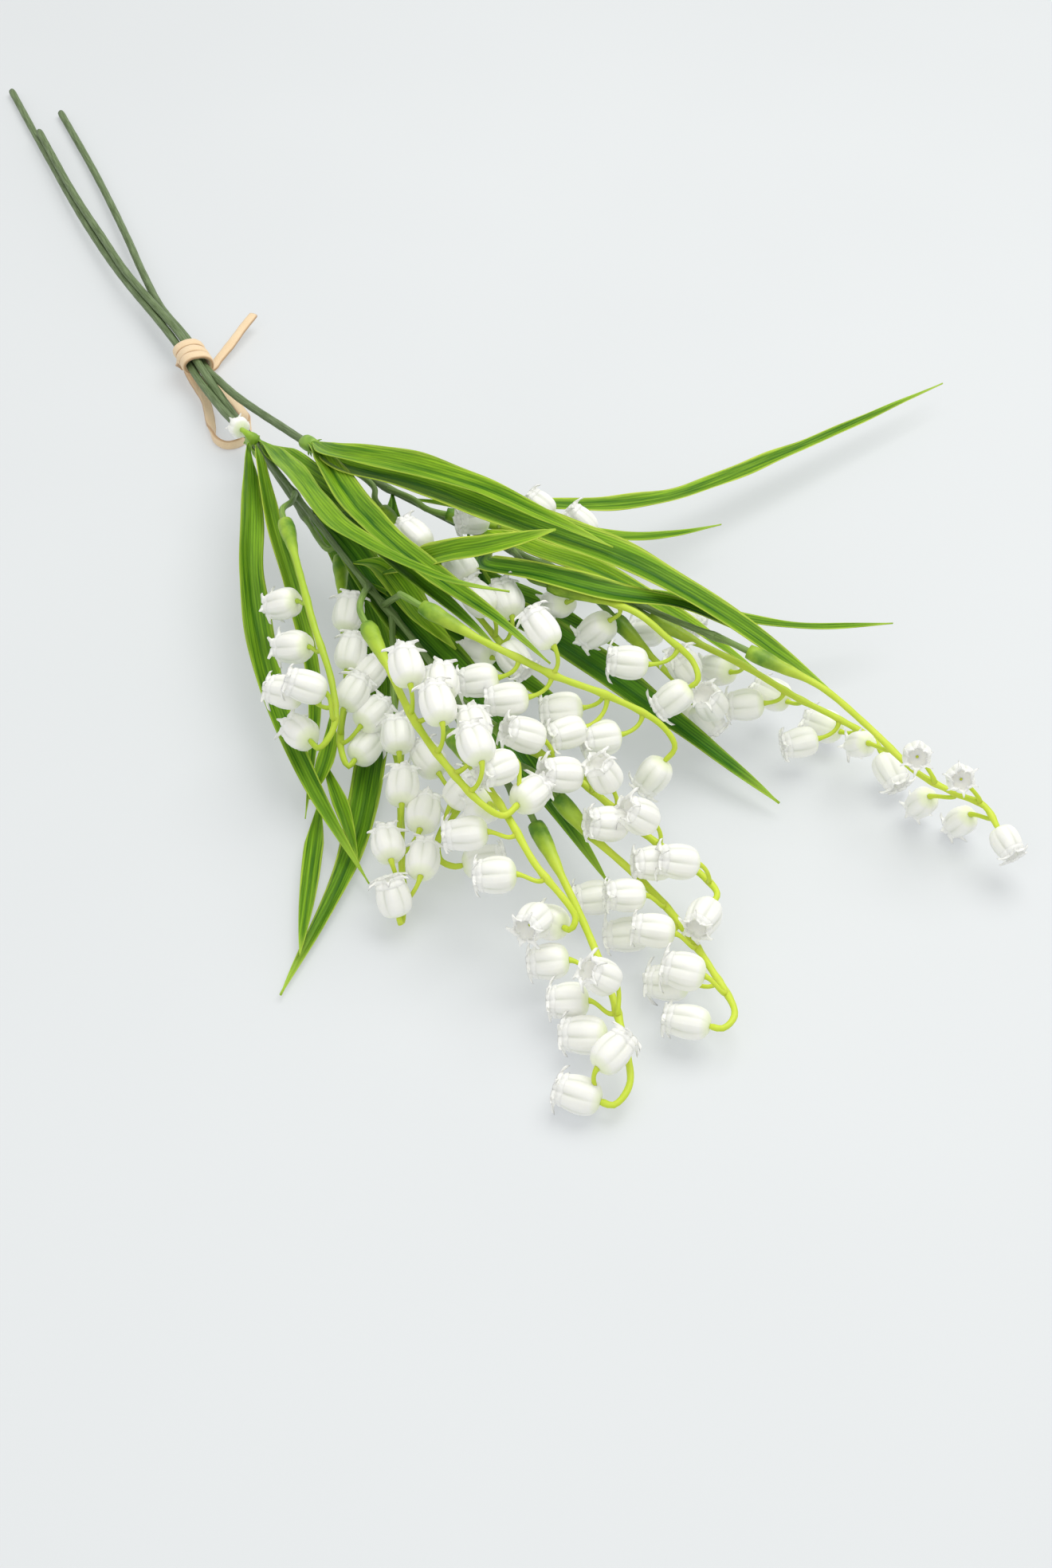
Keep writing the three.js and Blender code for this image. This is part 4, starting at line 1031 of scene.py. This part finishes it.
# Printed polyethylene sheet, moulded with fine veins and cut to shape: dark along the middle, mid green
# over the blade, yellow-green towards the margins, satin with lengthwise streaks.
def leafMaterial():
    material, tree, shader = newMaterial("printedLeafPolyethylene", {
        "Subsurface Weight": 0.2, "Subsurface Radius": (0.6, 1.0, 0.2), "Subsurface Scale": 0.001,
        "Specular IOR Level": 0.18})
    across, width, along, share, tone, marginInk, middleInk = (
        addNode(tree, "ShaderNodeAttribute", {"attribute_name": mark}).outputs["Fac"]
        for mark in ("across", "acrossMm", "along", "share", "tone", "marginInk", "middleInk"))
    slow = addNode(tree, "ShaderNodeMath", {"operation": "MULTIPLY"}, {0: along, 1: 0.035})
    printed = addNode(tree, "ShaderNodeCombineXYZ", None, {"X": width, "Y": slow, "Z": tone})
    streak = addNode(tree, "ShaderNodeTexNoise", None, {
        "Vector": printed, "Scale": 0.9, "Detail": 5.0, "Roughness": 0.6})
    fine = addNode(tree, "ShaderNodeTexNoise", None, {
        "Vector": printed, "Scale": 3.4, "Detail": 3.0, "Roughness": 0.6})
    phase = addNode(tree, "ShaderNodeMath", {"operation": "MULTIPLY"}, {0: width, 1: 2 * np.pi / 0.75})
    vein = addNode(tree, "ShaderNodeMath", {"operation": "SINE"}, {0: phase})    # a vein every 0.75 mm
    veinUp = addNode(tree, "ShaderNodeMapRange", None, {"Value": vein, "From Min": -1.0})
    spread = addNode(tree, "ShaderNodeMapRange", None, {"Value": streak, "From Min": 0.36, "From Max": 0.64})
    dark = addNode(tree, "ShaderNodeMix", colourMix, {"Factor": tone, "A": "#184a05", "B": "#649f16"})
    light = addNode(tree, "ShaderNodeMix", colourMix, {"Factor": tone, "A": "#438c14", "B": "#b6dc30"})
    blade = addNode(tree, "ShaderNodeMix", colourMix, {"Factor": spread, "A": dark, "B": light})
    out = addNode(tree, "ShaderNodeMath", {"operation": "ABSOLUTE"}, {0: across})
    wobble = addNode(tree, "ShaderNodeMath", {"operation": "MULTIPLY_ADD"}, {0: fine, 1: 0.5, 2: -0.25})
    rim = addNode(tree, "ShaderNodeMath", {"operation": "ADD"}, {0: out, 1: wobble})
    margin = addNode(tree, "ShaderNodeMapRange", {"interpolation_type": "SMOOTHSTEP"}, {
        "Value": rim, "From Min": 0.7, "From Max": 1.02})
    edging = addNode(tree, "ShaderNodeMath", {"operation": "MULTIPLY"}, {0: margin, 1: marginInk})
    edged = addNode(tree, "ShaderNodeMix", colourMix, {"Factor": edging, "A": blade, "B": "#cbe055"})
    middle = addNode(tree, "ShaderNodeMapRange", {"interpolation_type": "SMOOTHSTEP"}, {
        "Value": rim, "From Min": 0.0, "From Max": 0.24, "To Min": 0.95, "To Max": 0.0})
    ribbing = addNode(tree, "ShaderNodeMath", {"operation": "MULTIPLY"}, {0: middle, 1: middleInk})
    ribbed = addNode(tree, "ShaderNodeMix", colourMix, {"Factor": ribbing, "A": edged, "B": "#1f6006"})
    veined = addNode(tree, "ShaderNodeMix", colourTimes, {"Factor": 0.28, "A": ribbed, "B": veinUp})
    ends = addNode(tree, "ShaderNodeMapRange", {"interpolation_type": "SMOOTHSTEP"}, {
        "Value": share, "From Min": 0.86, "From Max": 1.0, "To Min": 0.0, "To Max": 0.7})
    tipped = addNode(tree, "ShaderNodeMix", colourMix, {"Factor": ends, "A": veined, "B": "#b3cf4c"})
    relief = addNode(tree, "ShaderNodeMath", {"operation": "MULTIPLY_ADD"}, {0: veinUp, 1: 0.6, 2: fine})
    finishSkin(tree, shader, tipped, fine, (0.38, 0.6), relief, 0.35, 0.2 * mm)
    return material


leafLook = leafMaterial()


# Half width as a share: the larger of sin(pi t^0.75)^0.8 and a straight taper from root to tip.
def leafOutline(t):
    swell = np.sin(np.pi * np.clip(t, 0, 1)**0.75).clip(0)**0.8
    return np.maximum(swell, leafSizes["root"] * (1 - t) + leafSizes["tip"] * t)


# A leaf: across the blade u runs -1..1; x = u * half * cos(fold), height = |u| * half * sin(fold), rounded
# near the midrib, plus two waves that grow as u^2 towards the margin. The blade is slender over its first
# rootRun; the top and the underside are a thickness apart, which falls away as u^6 at the margin, and a rib
# runs underneath.
def makeLeaf(name, number):
    leaf = leaves[name]
    rng = np.random.default_rng(900 + number)
    curve = curveThrough(leaf["midrib"])
    length = curve["length"]
    s = stepsAlong(0, length, leafSizes["rowStep"])
    t = s / length
    roll = leaf["roll"][0] + (leaf["roll"][1] - leaf["roll"][0]) * t
    point, direction, radial = placeOn(curve, s, roll)
    normal = np.cross(radial, direction)
    half = leaf.get("fuller", leafSizes["fuller"]) * leaf["width"] / 2 * leafOutline(t)
    half = half * (1 + 0.05 * np.sin(s / 9 + rng.uniform(0, 6)))
    half = half * np.clip(0.3 + s / leafSizes["rootRun"], 0, 1)
    u = np.linspace(-1, 1, leafSizes["across"])
    loop = np.concatenate([u, u[::-1]])
    face = np.concatenate([np.ones(len(u)), -np.ones(len(u))])
    fold = np.radians(leafSizes["fold"])
    bend = np.sqrt(loop**2 + 0.012) - 0.11
    waves = rng.uniform(0, 6, 4)
    (slow, slowRun), (quick, quickRun) = leafSizes["ripples"]
    ripple = slow * np.sin(s / slowRun + waves[0])[:, None] * np.where(loop > 0, 1, -0.7)[None]
    ripple = ripple + quick * np.sin(s / quickRun + waves[1])[:, None] * np.where(loop > 0, 0.6, 1)[None]
    ripple = ripple * np.abs(loop)[None]**2 * (half / (leaf["width"] / 2))[:, None]
    thin = leafSizes["thickness"] / 2 * (1 - leafSizes["edgeThin"] * np.abs(loop)**6)
    rib = leafSizes["rib"] * np.exp(-(loop / leafSizes["ribWidth"])**2) * np.where(face < 0, 1.0, 0.0)
    x = half[:, None] * loop * np.cos(fold)
    y = half[:, None] * bend * np.sin(fold) + ripple + face * thin - rib * np.minimum(1, half / 2)[:, None]
    grid = point[:, None] + radial[:, None] * x[..., None] + normal[:, None] * y[..., None]
    grid[..., 2] = np.maximum(grid[..., 2], leafSizes["offTable"] - home[2])
    shell = newShell()
    middleInk, marginInk = leaf.get("ink", leafSizes["ink"])
    addGrid(shell, grid, 0, {
        "across": loop, "acrossMm": half[:, None] * loop + 13.0 * number, "along": s[:, None],
        "share": t[:, None], "tone": leaf["tone"], "middleInk": middleInk, "marginInk": marginInk})
    piece = finishShell(shell, name.replace("leaf", "bladeLeaf"), [leafLook])
    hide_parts(name)


# Each collar's stem, and its distance before the stem's end.
collars = {
    "leaf_collar_left": ("stem_left", 169),
    "leaf_collar_middle": ("stem_middle", 50),
    "leaf_collar_right": ("stem_right", 148),
}
collarSizes = {
    "length": 5.5, "clearance": 0.15, "wall": 0.8, "sides": 24, "lobe": 0.06, "burrs": 5, "burr": 0.4,
    "burrSides": 7, "burrTall": (0.5, 1.5),
}


# Polyethylene collar with trimmed runners: light green, glossier than the stem, with a mottled skin.
def collarMaterial():
    material, tree, shader = newMaterial("trimmedCollarPolyethylene", {"Specular IOR Level": 0.45})
    where = addNode(tree, "ShaderNodeTexCoord").outputs["Object"]
    cloud = addNode(tree, "ShaderNodeTexNoise", None, {"Vector": where, "Scale": 420.0, "Detail": 4.0})
    mix = addNode(tree, "ShaderNodeMix", colourMix, {"Factor": cloud, "A": "#54862c", "B": "#a4c94e"})
    finishSkin(tree, shader, mix, cloud, (0.3, 0.5), cloud, 0.4, 0.3 * mm)
    return material


collarLook = collarMaterial()


# A collar: a closed ring section carried round the stem (outer side barrelled and lobed), and burrs where
# runners were trimmed: small cones that bend forwards.
def makeCollar(name, number):
    stemName, before = collars[name]
    curve = curveThrough(stems[stemName]["route"])
    point, direction, radial = placeOn(curve, curve["length"] - before, 0.0)
    over = np.cross(direction, radial)
    rng = np.random.default_rng(400 + number)
    bore = stemSizes["diameter"] / 2 + collarSizes["clearance"]
    wall, half = collarSizes["wall"], collarSizes["length"] / 2
    section = np.array([
        (bore, -half), (bore + wall * 0.6, -half), (bore + wall, -half * 0.7), (bore + wall * 1.15, 0),
        (bore + wall, half * 0.7), (bore + wall * 0.5, half), (bore, half), (bore, 0)])
    a = np.linspace(0, 2 * np.pi, collarSizes["sides"], endpoint=False)[:, None]
    lobes = 1 + collarSizes["lobe"] * np.sin(3 * a + number)
    r, h = section[None, :, 0] * lobes, section[None, :, 1] + 0 * a
    x, y = r * np.cos(a), r * np.sin(a)
    ring = point + radial * x[..., None] + over * y[..., None] + direction * h[..., None]
    shell = newShell()
    addGrid(shell, ring, ring=True)
    for k in range(collarSizes["burrs"]):
        angle = rng.uniform(0, 2 * np.pi)
        out = radial * np.cos(angle) + over * np.sin(angle)
        base = point + out * (bore + wall * 0.8) + direction * rng.uniform(-half, half) * 0.8
        tall = rng.uniform(*collarSizes["burrTall"])
        burr = bezier(base, base + out * tall * 0.5, base + out * tall * 0.8 + direction * tall * 0.3,
                      base + out * tall + direction * tall * 0.7, 8)
        b = np.linspace(0, burr["length"], 6)
        thick = collarSizes["burr"] * (1 - 0.8 * b / burr["length"])
        grid, _ = sweep(burr, b, thick, collarSizes["burrSides"])
        addGrid(shell, grid)
    piece = finishShell(shell, name.replace("leaf_collar", "mouldedCollar"), [collarLook])
    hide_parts(name)


makeCamera()
makeSky()
makeLight("key")
makeLight("fill")
makeFloor()
print("camera, light and floor made")
makeCord()
for stemName in stems:
    makeStem(stemName)
print("stems made")
for sprayNumber, sprayName in enumerate(sprays):
    makeSpray(sprayName, sprayNumber + 1)
print("sprays made")
for leafNumber, leafName in enumerate(leaves):
    makeLeaf(leafName, leafNumber + 1)
print("leaves made")
for collarNumber, collarName in enumerate(collars):
    makeCollar(collarName, collarNumber)
print("collars made")
